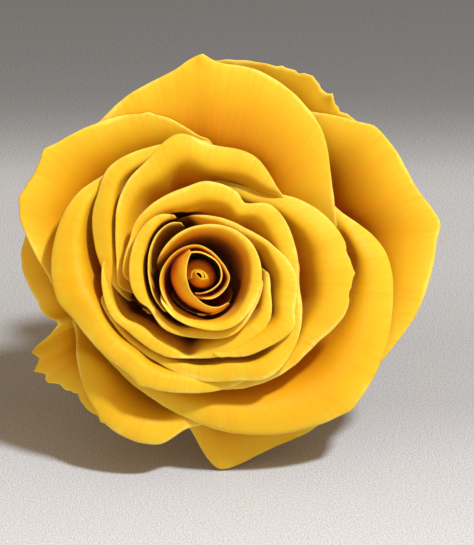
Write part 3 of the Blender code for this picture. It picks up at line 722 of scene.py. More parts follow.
@dataclass(frozen=True)
class Leaf:
    """A petal's settled sections, read as one smooth surface.

    edge_waves and sway_waves hold (wavelength in mm, share of the plan's waves): how the rim goes in and
    out, and how it swings to and fro over the top sway_depth. It swings in full where the room outside it
    is free_room more than the pitch, and less where there is less.
    """

    nest: Nest
    plan: PetalPlan
    first: float
    opened: np.ndarray
    room: np.ndarray

    fine_step: float = 0.5
    points: int = 97
    raw_points: int = 160
    root: float = 0.9
    tuck_in: float = 2.6
    evening_round: int = 2
    evening_up: int = 6
    edge_waves: Points = ((9.0, 0.5), (3.0, 0.25))
    sway_waves: Points = ((14.0, 1.2), (6.0, 0.5))
    sway_depth: float = 9.0
    sway_inward: float = 0.3
    free_room: float = 2.0
    roll_power: float = 1.6
    roll_clearance: float = 1.0
    roll_least: float = 0.05

    def openings(self) -> tuple[np.ndarray, np.ndarray]:
        """Reads the sections between their samples, with the kinks of the sampling evened out.

        Returns:
            The fine angles, and the openings there at each reach.
        """
        sections = self.opened.copy()
        for _ in range(self.evening_round):
            sections[1:-1] = (sections[:-2] + 2 * sections[1:-1] + sections[2:]) / 4
        for _ in range(self.evening_up):
            sections[:, 1:-1] = (sections[:, :-2] + 2 * sections[:, 1:-1] + sections[:, 2:]) / 4
        count = round((len(sections) - 1) * self.nest.sample / self.fine_step) + 1
        angles = self.first + self.fine_step * np.arange(count)
        rows = (angles - self.first) / self.nest.sample
        columns = np.arange(sections.shape[1], dtype=float)
        fine = cubic(sections, *np.meshgrid(rows, columns, indexing="ij"))
        return angles, fine

    def rolled(self, line: np.ndarray, width: float, turn: float) -> np.ndarray:
        """Rolls a section's end outward.

        Args:
            line: its (radius, height) points.
            width: how much of its end is rolled.
            turn: how far the edge turns, in radians.

        Returns:
            The points, with the same spacing.
        """
        steps = np.diff(line, axis=0)
        lengths = np.hypot(*steps.T)
        left = np.concatenate((np.cumsum(lengths[::-1])[::-1], (0.0,)))
        middle = (left[1:] + left[:-1]) / 2
        share = np.clip(1 - middle / max(width, 1e-3), 0, 1)
        heading = np.arctan2(steps[:, 0], steps[:, 1]) + turn * share**self.roll_power
        moved = np.column_stack((np.sin(heading), np.cos(heading))) * lengths[:, None]
        return np.vstack((line[:1], line[0] + np.cumsum(moved, axis=0)))

    def lines(self) -> tuple[np.ndarray, np.ndarray]:
        """Draws the petal's sections from root to rolled rim.

        Returns:
            The fine angles, and at each the (radius, height) points, evenly spaced.
        """
        nest = self.nest
        reaches = nest.reaches
        angles, fine = self.openings()
        room = np.interp(angles, self.first + nest.sample * np.arange(len(self.room)), self.room)
        width, degrees = self.plan.roll
        rims = np.array([along(self.plan.rim, angle) for angle in angles])
        first, last = self.plan.rim[0][0], self.plan.rim[-1][0]
        for width_of, past in zip(self.plan.tuck, (first - angles, angles - last)):
            if width_of:
                rims = rims - self.tuck_in * smooth(0.0, 1.0, past / width_of)
        span = math.radians(angles[-1] - angles[0]) * rims.mean()
        seed = sum(map(ord, self.plan.name))
        waves = [
            ripple(seed + k, span, [(length, share * self.plan.waves) for length, share in shares])
            for k, shares in enumerate((self.edge_waves, self.sway_waves))
        ]
        at = np.linspace(0, 1, len(angles)) * (len(waves[0]) - 1)
        edge, sway = (np.interp(at, np.arange(len(wave)), wave) for wave in waves)
        free = np.clip((room - nest.pitch_belly) / self.free_room, 0.0, 1.0)
        full_turn = math.radians(degrees)
        drop = max(width * full_turn / (self.roll_power + 1), 1e-3)
        lines = []
        marks = [(mark, mark.share(angles)) for mark in self.plan.marks]
        for n, (opening, rim, space) in enumerate(zip(fine, rims, room)):
            turn = full_turn * min(1.0, max(space - self.roll_clearance, self.roll_least) / drop)
            target = rim + edge[n] + sum(mark.out * share[n] for mark, share in marks)
            cut = target
            for _ in range(3):
                end = nest.rim_reach(opening, cut)
                reach = np.linspace(nest.seat - self.root, end, self.raw_points)
                at_reach = np.interp(reach, reaches, opening)
                swing = free[n] * sway[n] * smooth(end - self.sway_depth, end, reach) / reach
                at_reach = at_reach + np.maximum(swing, -self.sway_inward / reach)
                line = np.column_stack(
                    (reach * np.sin(at_reach), nest.fan_height + reach * np.cos(at_reach))
                )
                line = self.rolled(line, width, turn)
                for mark, share in marks:
                    if mark.forward and share[n] > 0:
                        line[:, 1] += mark.forward * share[n] * smooth(end - mark.depth, end, reach)
                cut += target - line[:, 0].max()
            run = np.concatenate(((0,), np.cumsum(np.hypot(*np.diff(line, axis=0).T))))
            even = np.linspace(0, run[-1], self.points)
            lines.append(np.column_stack([np.interp(even, run, line[:, k]) for k in (0, 1)]))
        return angles, np.array(lines)


@dataclass(frozen=True)
class Blade:
    """How a petal's surface becomes a thin closed mesh.

    Points are about a step apart, within the least and most of columns and rows, and are crowded towards
    the sides and the rim.
    """

    axis: BloomAxis
    thickness: float = 0.36
    rim_thickness: float = 0.16
    rounding: float = 0.5
    thinning: float = 5.0
    step: float = 0.55
    column_range: tuple[int, int] = (40, 150)
    row_range: tuple[int, int] = (30, 80)
    side_crowding: float = 1.25
    rim_crowding: float = 1.35
    claw_width: float = 0.5
    claw_top: float = 0.42
    corner_inset: float = 0.13
    corner_fall: float = 0.42

    def grid(self, leaf: Leaf) -> tuple[np.ndarray, np.ndarray]:
        """Spreads points over a petal.

        Args:
            leaf: the petal.

        Returns:
            The points by column and row, and their (across, along) in mm for the finish.
        """
        angles, lines = leaf.lines()
        plan = leaf.plan
        first, last = plan.rim[0][0] - plan.tuck[0], plan.rim[-1][0] + plan.tuck[1]
        wide = math.radians(last - first) * max(value for _, value in plan.rim)
        tall = np.hypot(*np.diff(lines[len(lines) // 2], axis=0).T).sum()
        columns = int(np.clip(wide / self.step, *self.column_range))
        rows = int(np.clip(tall / self.step, *self.row_range))
        across = np.linspace(-1, 1, columns)
        across = np.sign(across) * (1 - (1 - np.abs(across)) ** self.side_crowding)
        up = 1 - (1 - np.linspace(0, 1, rows)) ** self.rim_crowding
        across, up = np.meshgrid(across, up, indexing="ij")
        place = (first + last) / 2 + across * (last - first) / 2
        inset = self.corner_inset * (last - first)
        past = (
            plan.rim[0][0] + (plan.tuck[0] < 1) * inset - place,
            place - plan.rim[-1][0] + (plan.tuck[1] < 1) * inset,
        )
        falls = [smooth(0, 1, beyond / (tuck or inset)) for beyond, tuck in zip(past, plan.tuck)]
        corner = np.maximum(*falls)
        share = up * (1 - self.corner_fall * corner * corner)
        width = self.claw_width + (1 - self.claw_width) * smooth(0.0, self.claw_top, share)
        degrees = (first + last) / 2 + across * (last - first) / 2 * width
        spots = cubic(lines, (degrees - angles[0]) / leaf.fine_step, share * (leaf.points - 1))
        points = self.axis.place(spots[..., 0], degrees, spots[..., 1])
        marks = np.stack((across * wide / 2, share * tall), axis=-1)
        return points, marks

    def mesh(self, name: str, points: np.ndarray, marks: np.ndarray) -> bpy.types.Mesh:
        """Closes a sheet of points into a blade with a rounded rim.

        Args:
            name: the mesh's name.
            points: by column and row, in mm.
            marks: the finish's own coordinates of each point.

        Returns:
            The mesh, in metres.
        """
        columns, rows = points.shape[:2]
        over = np.gradient(points, axis=0)
        up = np.gradient(points, axis=1)
        normal = np.cross(over, up)
        normal /= np.maximum(np.linalg.norm(normal, axis=-1, keepdims=True), 1e-9)
        run_up = np.cumsum(np.linalg.norm(np.diff(points, axis=1), axis=-1), axis=1)
        run_up = np.concatenate((np.zeros((columns, 1)), run_up), axis=1)
        to_rim = run_up[:, -1:] - run_up
        run_over = np.cumsum(np.linalg.norm(np.diff(points, axis=0), axis=-1), axis=0)
        run_over = np.concatenate((np.zeros((1, rows)), run_over), axis=0)
        to_side = np.minimum(run_over, run_over[-1:] - run_over)
        edge = np.minimum(to_rim, to_side)
        half = self.rim_thickness + (self.thickness - self.rim_thickness) * smooth(0, self.thinning, edge)
        inward = np.clip(edge / self.rounding, 0, 1)
        half = half / 2 * np.sqrt(1 - (1 - inward) ** 2)
        half[:, 0] = 0
        front = points + normal * half[..., None]
        back = points - normal * half[..., None]
        border = np.zeros((columns, rows), bool)
        border[0], border[-1], border[:, 0], border[:, -1] = True, True, True, True
        index = np.arange(columns * rows).reshape(columns, rows)
        back_index = np.where(border, index, 0)
        inner = ~border
        back_index[inner] = columns * rows + np.arange(inner.sum())
        vertices = np.vstack((front.reshape(-1, 3), back[inner]))
        vertices[:, 2] = np.maximum(vertices[:, 2], 0.0)
        quads = []
        for ids, turned in ((index, False), (back_index, True)):
            corners = [ids[:-1, :-1], ids[1:, :-1], ids[1:, 1:], ids[:-1, 1:]]
            if turned:
                corners = corners[::-1]
            quads.append(np.stack(corners, axis=-1).reshape(-1, 4))
        faces = np.vstack(quads)
        mesh = bpy.data.meshes.new(name)
        mesh.from_pydata((vertices * MM).tolist(), [], faces.tolist())
        marks_all = np.vstack((marks.reshape(-1, 2), marks[inner]))
        rim_marks = np.stack((edge, to_rim), axis=-1)
        rim_all = np.vstack((rim_marks.reshape(-1, 2), rim_marks[inner]))
        for layer_name, values in (("petal_mm", marks_all), ("rim_mm", rim_all)):
            layer = mesh.uv_layers.new(name=layer_name)
            layer.data.foreach_set("uv", values[faces.reshape(-1)].reshape(-1).astype(np.float32))
        mesh.shade_smooth()
        mesh.validate()
        return mesh

    def petal(self, leaf: Leaf) -> bpy.types.Mesh:
        """Makes the blade of one petal."""
        return self.mesh(f"{leaf.plan.name}_blade", *self.grid(leaf))


def add_piece(mesh: bpy.types.Mesh, node: str, material: bpy.types.Material) -> None:
    """Puts a finished mesh in the place of its node.

    Args:
        mesh: in the frame's own coordinates.
        node: the solid that it stands for.
        material: its finish.
    """
    piece = bpy.data.objects.new(mesh.name, mesh)
    bpy.context.scene.collection.objects.link(piece)
    mesh.materials.append(material)
    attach(piece, BODY)
    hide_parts(node)
    LOG.info("%s: %d faces", piece.name, len(mesh.polygons))


@dataclass(frozen=True)
class Finish:
    """A material. Each kind works out what reaches its own shader."""

    name: str

    def surface(self, tree: bpy.types.NodeTree) -> dict:
        """The shader's inputs, by name, for the tree that the material is made in."""
        raise NotImplementedError

    def build(self) -> bpy.types.Material:
        """Makes the material.

        Returns:
            The material.
        """
        material = bpy.data.materials.new(self.name)
        material.use_nodes = True
        tree = material.node_tree
        tree.nodes.clear()
        shader = add_node(tree, "ShaderNodeBsdfPrincipled", self.surface(tree))
        add_node(tree, "ShaderNodeOutputMaterial", {"Surface": shader.outputs["BSDF"]})
        return material


@dataclass(frozen=True)
class PreservedPetal(Finish):
    """Rose petal kept with glycerine and dye: soft, satin, yellow at the rim and orange towards the claw.

    The dye lies all through the blade, so light that comes through is a deeper orange, and the folds
    between petals glow rather than go grey. depths holds (mm from the rim, sRGB): the pale first stop is
    a painted highlight on the thin rim, and the darker, redder stops further in are partly the petal's own
    deeper base and partly painted shade of the folds deep in the bloom. Veins, patches and grain are in
    mm, vein_length in vein spacings, and unevenness is how many mm a patch shifts the depth.
    """

    name: str = "preserved petal"
    colour_and_shade_by_depth: tuple[tuple[float, str], ...] = (
        (0.0, "EFD058"), (0.5, "E3BC2C"), (3.0, "DBAE18"), (8.0, "D0960A"), (14.0, "C87A04"),
        (22.0, "BA5802"), (34.0, "A03C02"),
    )
    vein: str = "EC9410"
    roughness: float = 0.56
    ior: float = 1.42
    vein_spacing: float = 0.9
    vein_length: float = 14.0
    patch: float = 7.0
    unevenness: float = 2.5
    grain: float = 0.35

    def surface(self, tree: bpy.types.NodeTree) -> dict:
        """Colours the blade by its distance from the rim, with veins and a fine grain.

        Args:
            tree: the material's nodes.

        Returns:
            The shader's inputs, by name.
        """
        marks = add_node(tree, "ShaderNodeUVMap", uv_map="petal_mm").outputs["UV"]
        rim = add_node(tree, "ShaderNodeUVMap", uv_map="rim_mm").outputs["UV"]
        place = add_node(tree, "ShaderNodeTexCoord").outputs["Object"]
        scale = (1 / self.vein_spacing, 1 / (self.vein_length * self.vein_spacing), 1.0)
        stretched = add_node(tree, "ShaderNodeMapping", {"Vector": marks, "Scale": scale}).outputs["Vector"]
        veins = add_node(
            tree, "ShaderNodeTexNoise", {"Vector": stretched, "Scale": 1.0, "Detail": 3.0, "Roughness": 0.6}
        ).outputs["Fac"]
        patches = add_node(
            tree, "ShaderNodeTexNoise", {"Vector": place, "Scale": 1 / (self.patch * MM), "Detail": 2.0}
        ).outputs["Fac"]
        # A petal's cells are far finer than a pixel, so its grain is drawn coarse enough to show.
        grain = add_node(
            tree, "ShaderNodeTexNoise", {"Vector": place, "Scale": 1 / (self.grain * MM), "Detail": 2.0}
        ).outputs["Fac"]
        below = add_node(tree, "ShaderNodeSeparateXYZ", {"Vector": rim}).outputs["X"]
        uneven = add_node(tree, "ShaderNodeMath", {0: patches, 1: 0.5}, operation="SUBTRACT").outputs[0]
        nearer = add_node(
            tree, "ShaderNodeMath", {0: uneven, 1: self.unevenness, 2: below}, operation="MULTIPLY_ADD"
        ).outputs[0]
        # Painted light: the pale stop at the rim is a painted highlight, and the darker, redder stops deeper
        # in are painted shade of the folds, laid over the petal's own deeper orange base.
        end = self.colour_and_shade_by_depth[-1][0]
        depth = add_node(tree, "ShaderNodeMath", {0: nearer, 1: end}, operation="DIVIDE").outputs[0]
        ramp = add_node(tree, "ShaderNodeValToRGB", {"Fac": depth})
        stops = ramp.color_ramp.elements
        stops[0].color = linear(self.colour_and_shade_by_depth[0][1])
        stops[1].color = linear(self.colour_and_shade_by_depth[-1][1])
        for mm, code in self.colour_and_shade_by_depth[1:-1]:
            stops.new(mm / end).color = linear(code)
        vein_share = add_node(
            tree, "ShaderNodeMapRange", {"Value": veins, "From Min": 0.42, "From Max": 0.72, "To Max": 0.35}
        ).outputs["Result"]
        veined = add_node(
            tree,
            "ShaderNodeMix",
            {0: vein_share, 6: ramp.outputs["Color"], 7: linear(self.vein)},
            data_type="RGBA",
        )
        ridges = add_node(
            tree, "ShaderNodeBump", {"Height": veins, "Strength": 0.35, "Distance": 0.12 * MM}
        ).outputs["Normal"]
        bump = add_node(
            tree,
            "ShaderNodeBump",
            {"Height": grain, "Strength": 0.35, "Distance": 0.06 * MM, "Normal": ridges},
        )
        return {
            "Base Color": veined.outputs[2],
            "Roughness": self.roughness,
            "IOR": self.ior,
            "Normal": bump.outputs["Normal"],
            "Specular IOR Level": 0.25,
            "Subsurface Weight": 0.3,
            "Subsurface Radius": (1.0, 0.4, 0.05),
            "Subsurface Scale": 1.0 * MM,
            "Sheen Weight": 0.03,
            "Sheen Roughness": 0.4,
        }


# The bud petals' colours by mm from the rim: pale at the rim as a painted highlight, then darkening fast to
# maroon, partly the petals' own deeper base and partly painted shade of the bud's tight folds.
BUD_COLOUR_AND_SHADE_BY_DEPTH = (
    (0.0, "F8D25A"), (0.35, "F3BE2C"), (1.2, "ECAA14"), (3.0, "E09206"), (6.0, "C46802"), (10.0, "983C00"),
    (16.0, "6C1E00"),
)


@dataclass(frozen=True)
class GreenSepal(Finish):
    """Preserved sepal and receptacle: matt, olive, uneven in tone. patch is in mm."""

    name: str = "preserved sepal"
    green: str = "6E7A35"
    dark: str = "4A5524"
    roughness: float = 0.62
    patch: float = 2.2

    def surface(self, tree: bpy.types.NodeTree) -> dict:
        """Mixes two greens in patches, which also stand a little proud.

        Args:
            tree: the material's nodes.

        Returns:
            The shader's inputs, by name.
        """
        place = add_node(tree, "ShaderNodeTexCoord").outputs["Object"]
        patches = add_node(
            tree, "ShaderNodeTexNoise", {"Vector": place, "Scale": 1 / (self.patch * MM), "Detail": 4.0}
        ).outputs["Fac"]
        ramp = add_node(tree, "ShaderNodeValToRGB", {"Fac": patches})
        stops = ramp.color_ramp.elements
        stops[0].position, stops[0].color = 0.3, linear(self.dark)
        stops[1].position, stops[1].color = 0.7, linear(self.green)
        bump = add_node(
            tree, "ShaderNodeBump", {"Height": patches, "Strength": 0.5, "Distance": 0.1 * MM}
        )
        return {
            "Base Color": ramp.outputs["Color"],
            "Roughness": self.roughness,
            "Normal": bump.outputs["Normal"],
        }


@dataclass(frozen=True)
class CutWood(Finish):
    """The cut face of a thin stem: pale dry wood and pith, finely mixed. pore is in mm."""

    name: str = "cut stem"
    wood: str = "C6B27C"
    pith: str = "E4DABB"
    roughness: float = 0.8
    pore: float = 0.3

    def surface(self, tree: bpy.types.NodeTree) -> dict:
        """Mixes wood and pith in a fine noise, which also roughens the cut.

        Args:
            tree: the material's nodes.

        Returns:
            The shader's inputs, by name.
        """
        place = add_node(tree, "ShaderNodeTexCoord").outputs["Object"]
        # Real pores are finer than a pixel, so they are drawn coarse enough to show.
        pores = add_node(
            tree, "ShaderNodeTexNoise", {"Vector": place, "Scale": 1 / (self.pore * MM), "Detail": 2.0}
        ).outputs["Fac"]
        shade = add_node(
            tree, "ShaderNodeMix", {0: pores, 6: linear(self.wood), 7: linear(self.pith)}, data_type="RGBA"
        )
        bump = add_node(tree, "ShaderNodeBump", {"Height": pores, "Strength": 0.5, "Distance": 0.08 * MM})
        return {
            "Base Color": shade.outputs[2],
            "Roughness": self.roughness,
            "Normal": bump.outputs["Normal"],
        }


@dataclass(frozen=True)
class PaperSweep(Finish):
    """Pale grey paper with a fine fleck, which falls off to grey behind the flower.

    tones holds (mm behind the middle of the part, sRGB grey level), front to back: painted light and
    shade, lighter in front and grey behind, as the light falls off over the paper. fleck is in mm.
    """

    name: str = "flecked paper"
    painted_shade_tones: Points = (
        (-48, 190), (-21, 179), (-1, 161), (21, 158), (51, 166), (79, 164), (87, 158), (95, 143),
        (104, 127), (113, 113), (121, 106), (134, 101), (160, 96),
    )
    tint: tuple[float, float, float] = (1.04, 1.11, 1.22)
    fleck: float = 0.24
    roughness: float = 0.9

    def surface(self, tree: bpy.types.NodeTree) -> dict:
        """Shades the paper from front to back and flecks it.

        Args:
            tree: the material's nodes.

        Returns:
            The shader's inputs, by name.
        """
        place = add_node(tree, "ShaderNodeTexCoord").outputs["Object"]
        behind = add_node(tree, "ShaderNodeSeparateXYZ", {"Vector": place}).outputs["Y"]
        # Painted shade: the grey levels darken from front to back as the light falls off over the paper.
        first, last = self.painted_shade_tones[0][0], self.painted_shade_tones[-1][0]
        depth = add_node(
            tree, "ShaderNodeMapRange", {"Value": behind, "From Min": first * MM, "From Max": last * MM}
        )
        ramp = add_node(tree, "ShaderNodeValToRGB", {"Fac": depth.outputs["Result"]})
        stops = ramp.color_ramp.elements
        for mm, _ in self.painted_shade_tones[1:-1]:
            stops.new((mm - first) / (last - first))
        for stop, (_, level) in zip(stops, self.painted_shade_tones):
            grey = linear(f"{level:02x}" * 3)
            stop.color = (*(share * value for share, value in zip(self.tint, grey)), 1.0)
        # Real fleck is finer than a pixel here, so it is drawn about two pixels wide.
        fleck = add_node(
            tree, "ShaderNodeTexNoise", {"Vector": place, "Scale": 1 / (self.fleck * MM), "Detail": 1.0}
        ).outputs["Fac"]
        shade = add_node(
            tree,
            "ShaderNodeMapRange",
            {"Value": fleck, "From Min": 0.3, "From Max": 0.7, "To Min": 0.7, "To Max": 1.24},
        )
        flecked = add_node(
            tree,
            "ShaderNodeMix",
            {0: 1.0, 6: ramp.outputs["Color"], 7: shade.outputs["Result"]},
            data_type="RGBA",
            blend_type="MULTIPLY",
        )
        bump = add_node(tree, "ShaderNodeBump", {"Height": fleck, "Strength": 0.4, "Distance": 0.1 * MM})
        return {
            "Base Color": flecked.outputs[2],
            "Roughness": self.roughness,
            "Normal": bump.outputs["Normal"],
        }


@dataclass(frozen=True)
class Bloom:
    """All the petals that stand round the heart."""

    axis: BloomAxis
    leaves: dict[str, Leaf]

    def build(self, finish: bpy.types.Material) -> None:
        """Builds each petal in the place of its node, with one finish for all."""
        blade = Blade(self.axis)
        for plan in PETALS:
            add_piece(blade.petal(self.leaves[plan.name]), plan.name, finish)


@dataclass(frozen=True)
class Curl:
    """A small petal rolled in the bud: its rim, the rim's height, and how it widens downward.

    rim, height and flare_share hold points by degrees, and flare holds (mm below the rim, mm outward).
    crowding brings the rows closer at the rim, and mark_radius is where its marks are measured round.
    """

    name: str
    rim: Points
    height: Points
    flare: Points
    flare_share: Points = ((0, 1.0), (1, 1.0))
    length: float = 16.0
    crowding: float = 1.5
    mark_radius: float = 3.0
    columns: int = 140
    rows: int = 44

    def spread(self, axis: BloomAxis) -> tuple[np.ndarray, np.ndarray]:
        """Spreads points over it, from foot to rim.

        Args:
            axis: where the bloom stands.

        Returns:
            The points by column and row, and their (across, along) in mm for the finish.
        """
        first, last = self.rim[0][0], self.rim[-1][0]
        steps = np.linspace(0, 1, self.columns), np.linspace(0, 1, self.rows)
        across, up = np.meshgrid(*steps, indexing="ij")
        up = 1 - (1 - up) ** self.crowding
        degrees = first + across * (last - first)
        down = (1 - up) * self.length
        edge, tops, share = (
            np.array([along(points, angle) for angle in degrees[:, 0]])[:, None]
            for points in (self.rim, self.height, self.flare_share)
        )
        wider = np.array([along(self.flare, value) for value in down[0]])[None, :] * share
        points = axis.place(edge + wider, degrees, tops - down)
        return points, np.stack((across * np.radians(last - first) * self.mark_radius, -down), axis=-1)


@dataclass(frozen=True)
class Heart:
    """The bud petals still rolled round each other."""

    axis: BloomAxis
    leaves: dict[str, Leaf]
    curls: tuple[Curl, ...] = (
        Curl(
            "bud_roll",
            ((-60, 0.42), (30, 0.2), (100, 0.34), (150, 0.62), (210, 0.3), (280, 0.46), (330, 0.86),
             (390, 0.62), (450, 0.72), (510, 1.15), (560, 1.25)),
            ((-60, 39.6), (330, 39.4), (560, 38.6)),
            ((0, 0.0), (0.6, 0.3), (1.6, 0.85), (3.0, 1.25), (8.0, 1.5), (16.0, 1.2)),
        ),
        Curl(
            "bud_curl_inner",
            ((-106, 2.7), (-93, 2.65), (-67, 2.6), (-39, 2.8), (-17, 3.07), (11, 3.15), (37, 3.15),
             (65, 3.1), (97, 3.4), (116, 3.6)),
            ((-106, 38.6), (-70, 40.2), (0, 40.6), (116, 41.4)),
            ((0, 0.0), (0.5, 0.12), (3.0, 0.15), (8.0, 0.0), (16.0, -0.4)),
        ),
        Curl(
            "bud_curl_middle",
            ((-104, 3.3), (-80, 3.6), (-61, 3.96), (-42, 4.16), (-20, 4.37), (-4, 4.42), (12, 4.07),
             (40, 3.75), (71, 4.04), (94, 4.5), (129, 4.9), (156, 5.33), (177, 5.85), (191, 6.1),
             (213, 6.36), (232, 6.6), (250, 6.4)),
            ((-104, 38.0), (-70, 40.0), (60, 40.8), (150, 40.6), (205, 40.0), (232, 38.6), (250, 36.0)),
            ((0, 0.0), (0.6, -0.22), (3.0, -0.4), (8.0, -0.7), (16.0, -1.2)),
        ),
        Curl(
            "bud_curl_outer",
            ((112, 3.5), (131, 2.7), (152, 2.2), (171, 2.0), (193, 2.0), (214, 2.1), (241, 2.7), (265, 3.54),
             (285, 4.7), (299, 5.4), (316, 5.8)),
            ((112, 41.4), (200, 41.9), (250, 41.6), (280, 40.6), (300, 38.8), (316, 35.5)),
            ((0, 0.0), (0.5, 0.55), (1.6, 1.3), (4.0, 1.9), (8.0, 2.2), (16.0, 2.0)),
            ((112, 0.5), (150, 1.0), (215, 1.0), (265, 0.7), (316, 0.2)),
        ),
    )

    def build(self, finish: bpy.types.Material) -> None:
        """Builds the bud's low wrap and its curls in the place of the heart's node.

        Args:
            finish: the bud's material.
        """
        wrap = Blade(self.axis, thickness=0.34, rim_thickness=0.16, rounding=0.3, step=0.4)
        add_piece(wrap.petal(self.leaves["bud_low"]), "heart", finish)
        fine = Blade(self.axis, thickness=0.26, rim_thickness=0.14, rounding=0.2)
        for curl in self.curls:
            add_piece(fine.mesh(curl.name, *curl.spread(self.axis)), "heart", finish)


def turned_mesh(name: str, points: np.ndarray, ends: np.ndarray, flipped: bool = False) -> bpy.types.Mesh:
    """Closes rings of points into a body that goes all round the axis.

    Args:
        name: the mesh's name.
        points: by turn and row, in mm.
        ends: the middle of the first row and of the last.
        flipped: whether the rows run from the middle of the cut outward, so the faces are turned over.

    Returns:
        The mesh, in metres.
    """
    count = points.shape[0] * points.shape[1]
    index = np.arange(count).reshape(points.shape[:2])
    after = np.roll(index, -1, axis=0)
    corners = (index[:, :-1], index[:, 1:], after[:, 1:], after[:, :-1])
    faces = np.stack(corners, -1).reshape(-1, 4).tolist()
    faces += [[count, a, b] for a, b in zip(index[:, 0].tolist(), after[:, 0].tolist())]
    faces += [[count + 1, b, a] for a, b in zip(index[:, -1].tolist(), after[:, -1].tolist())]
    if flipped:
        faces = [face[:1] + face[:0:-1] for face in faces]
    mesh = bpy.data.meshes.new(name)
    mesh.from_pydata((np.vstack((points.reshape(-1, 3), ends)) * MM).tolist(), [], faces)
    mesh.shade_smooth()
    return mesh


@dataclass(frozen=True)
class Calyx:
    """Receptacle, hip, sepals and the cut stem.

    hip and cut_rings hold (radius, height) points, and sepal_line the four points that bend a sepal.
    """

    axis: BloomAxis
    ball_radius: float = 7.0
    ball_height: float = 7.5
    ball_start: float = 3.0
    ball_end: float = 118.0
    ball_points: int = 30
    hip: Points = (
        (5.4, 1.4), (5.3, 0.2), (5.2, -1.0), (4.9, -2.2), (4.4, -3.4), (3.75, -4.6), (3.1, -5.6), (2.6, -6.5),
        (2.3, -7.4), (2.15, -8.4), (2.1, -9.6), (2.06, -12.0), (2.1, -14.5), (2.08, -16.7), (1.95, -16.95),
    )
    ribs: int = 10
    rib_depth: float = 0.09
    turns: int = 120
    sepals: int = 5
    sepal_columns: int = 25
    sepal_rows: int = 60
    sepal_seed: int = 40
    sepal_start: float = 54.0
    sepal_width: float = 2.7
    sepal_length: float = 17.0
    sepal_swing: float = 5.0
    sepal_line: Points = ((4.6, 2.0), (9.0, 0.6), (11.6, -5.0), (10.0, -14.0))
    sepal_dish: float = 0.5
    midrib: float = 0.3
    midrib_width: float = 0.42
    lobe: float = 0.55
    cut_depth: float = -17.1
    cut_turns: int = 48
    cut_rings: Points = ((0.55, 0.0), (0.75, -0.04), (1.3, 0.0), (1.8, 0.02), (1.95, 0.16))

    def skin(self) -> bpy.types.Mesh:
        """Turns the ribbed receptacle, hip and stem, closed at both ends.

        Returns:
            The mesh.
        """
        turn = np.radians(np.linspace(self.ball_start, self.ball_end, self.ball_points))
        ball = np.column_stack(
            (self.ball_radius * np.sin(turn), self.ball_height + self.ball_radius * np.cos(turn))
        )
        profile = np.vstack((ball, self.hip))
        radius, degrees = np.meshgrid(profile[:, 0], np.arange(self.turns) * 360 / self.turns)
        height = np.broadcast_to(profile[:, 1], radius.shape)
        # The ribs fade out into the receptacle and towards the cut.
        ribbed = smooth(2.0, -3.0, height) * smooth(-16.9, -15.0, height)
        radius = radius + self.rib_depth * ribbed * np.cos(np.radians(degrees) * self.ribs)
        tips = np.array((self.ball_height + self.ball_radius, profile[-1, 1]))
        ends = self.axis.place(np.zeros(2), np.zeros(2), tips)
        return turned_mesh("hip_skin", self.axis.place(radius, degrees, height), ends)

    def sepal(self, number: int) -> tuple[np.ndarray, np.ndarray]:
        """Spreads points over one sepal: a pointed blade with a midrib and small side lobes.

        Args:
            number: which one, from 0.

        Returns:
            The points by column and row, and their (across, along) in mm for the finish.
        """
        steps = np.linspace(-1, 1, self.sepal_columns), np.linspace(0, 1, self.sepal_rows)
        side, up = np.meshgrid(*steps, indexing="ij")
        line = np.array(self.sepal_line)
        t = up[..., None]
        middle = (1 - t) ** 3 * line[0] + 3 * t * (1 - t) ** 2 * line[1]
        middle = middle + 3 * t * t * (1 - t) * line[2] + t**3 * line[3]
        draw = np.random.default_rng(self.sepal_seed + number)
        starts = draw.uniform(0.42, 0.5, 2)
        wide = self.sepal_width * (0.35 + 0.65 * smooth(0, 0.3, up)) * (1 - up**2.2) ** 0.8
        for sign, start in zip((-1, 1), starts):
            lobes = smooth(start, start + 0.05, up) * smooth(start + 0.2, start + 0.07, up)
            wide = wide + self.lobe * lobes * (side * sign > 0)
        away = side * np.maximum(wide, 0.12)
        rib = self.midrib * np.exp(-((away / self.midrib_width) ** 2)) * (1 - 0.7 * up)
        radius = middle[..., 0] + rib - self.sepal_dish * side**2 * smooth(0, 0.3, up)
        height = middle[..., 1] + 0.25 * np.sin(9 * up + number) * side**2 * up
        turn = self.sepal_start + number * 360 / self.sepals
        swing = draw.uniform(-self.sepal_swing, self.sepal_swing) * up**2
        degrees = turn + swing + np.degrees(away / np.maximum(radius, 3.0))
        points = self.axis.place(radius, degrees, height)
        return points, np.stack((away, up * self.sepal_length), axis=-1)

    def cut_end(self) -> bpy.types.Mesh:
        """Makes the disc of pale wood at the cut end of the stem.

        Returns:
            The mesh.
        """
        rings = np.array(self.cut_rings)
        radius, degrees = np.meshgrid(rings[:, 0], np.arange(self.cut_turns) * 360 / self.cut_turns)
        height = self.cut_depth + np.broadcast_to(rings[:, 1], radius.shape)
        tips = np.array((self.cut_depth, self.cut_depth + rings[-1, 1]))
        ends = self.axis.place(np.zeros(2), np.zeros(2), tips)
        return turned_mesh("stem_cut", self.axis.place(radius, degrees, height), ends, flipped=True)

    def build(self, green: bpy.types.Material, wood: bpy.types.Material) -> None:
        """Builds the calyx in the place of its node.

        Args:
            green: the finish of hip, stem and sepals.
            wood: the finish of the cut.
        """
        add_piece(self.skin(), "calyx", green)
        add_piece(self.cut_end(), "calyx", wood)
        blade = Blade(self.axis, thickness=0.55, rim_thickness=0.24, rounding=0.3, thinning=1.6)
        for number in range(self.sepals):
            mesh = blade.mesh(f"sepal_{number + 1}", *self.sepal(number))
            add_piece(mesh, "calyx", green)


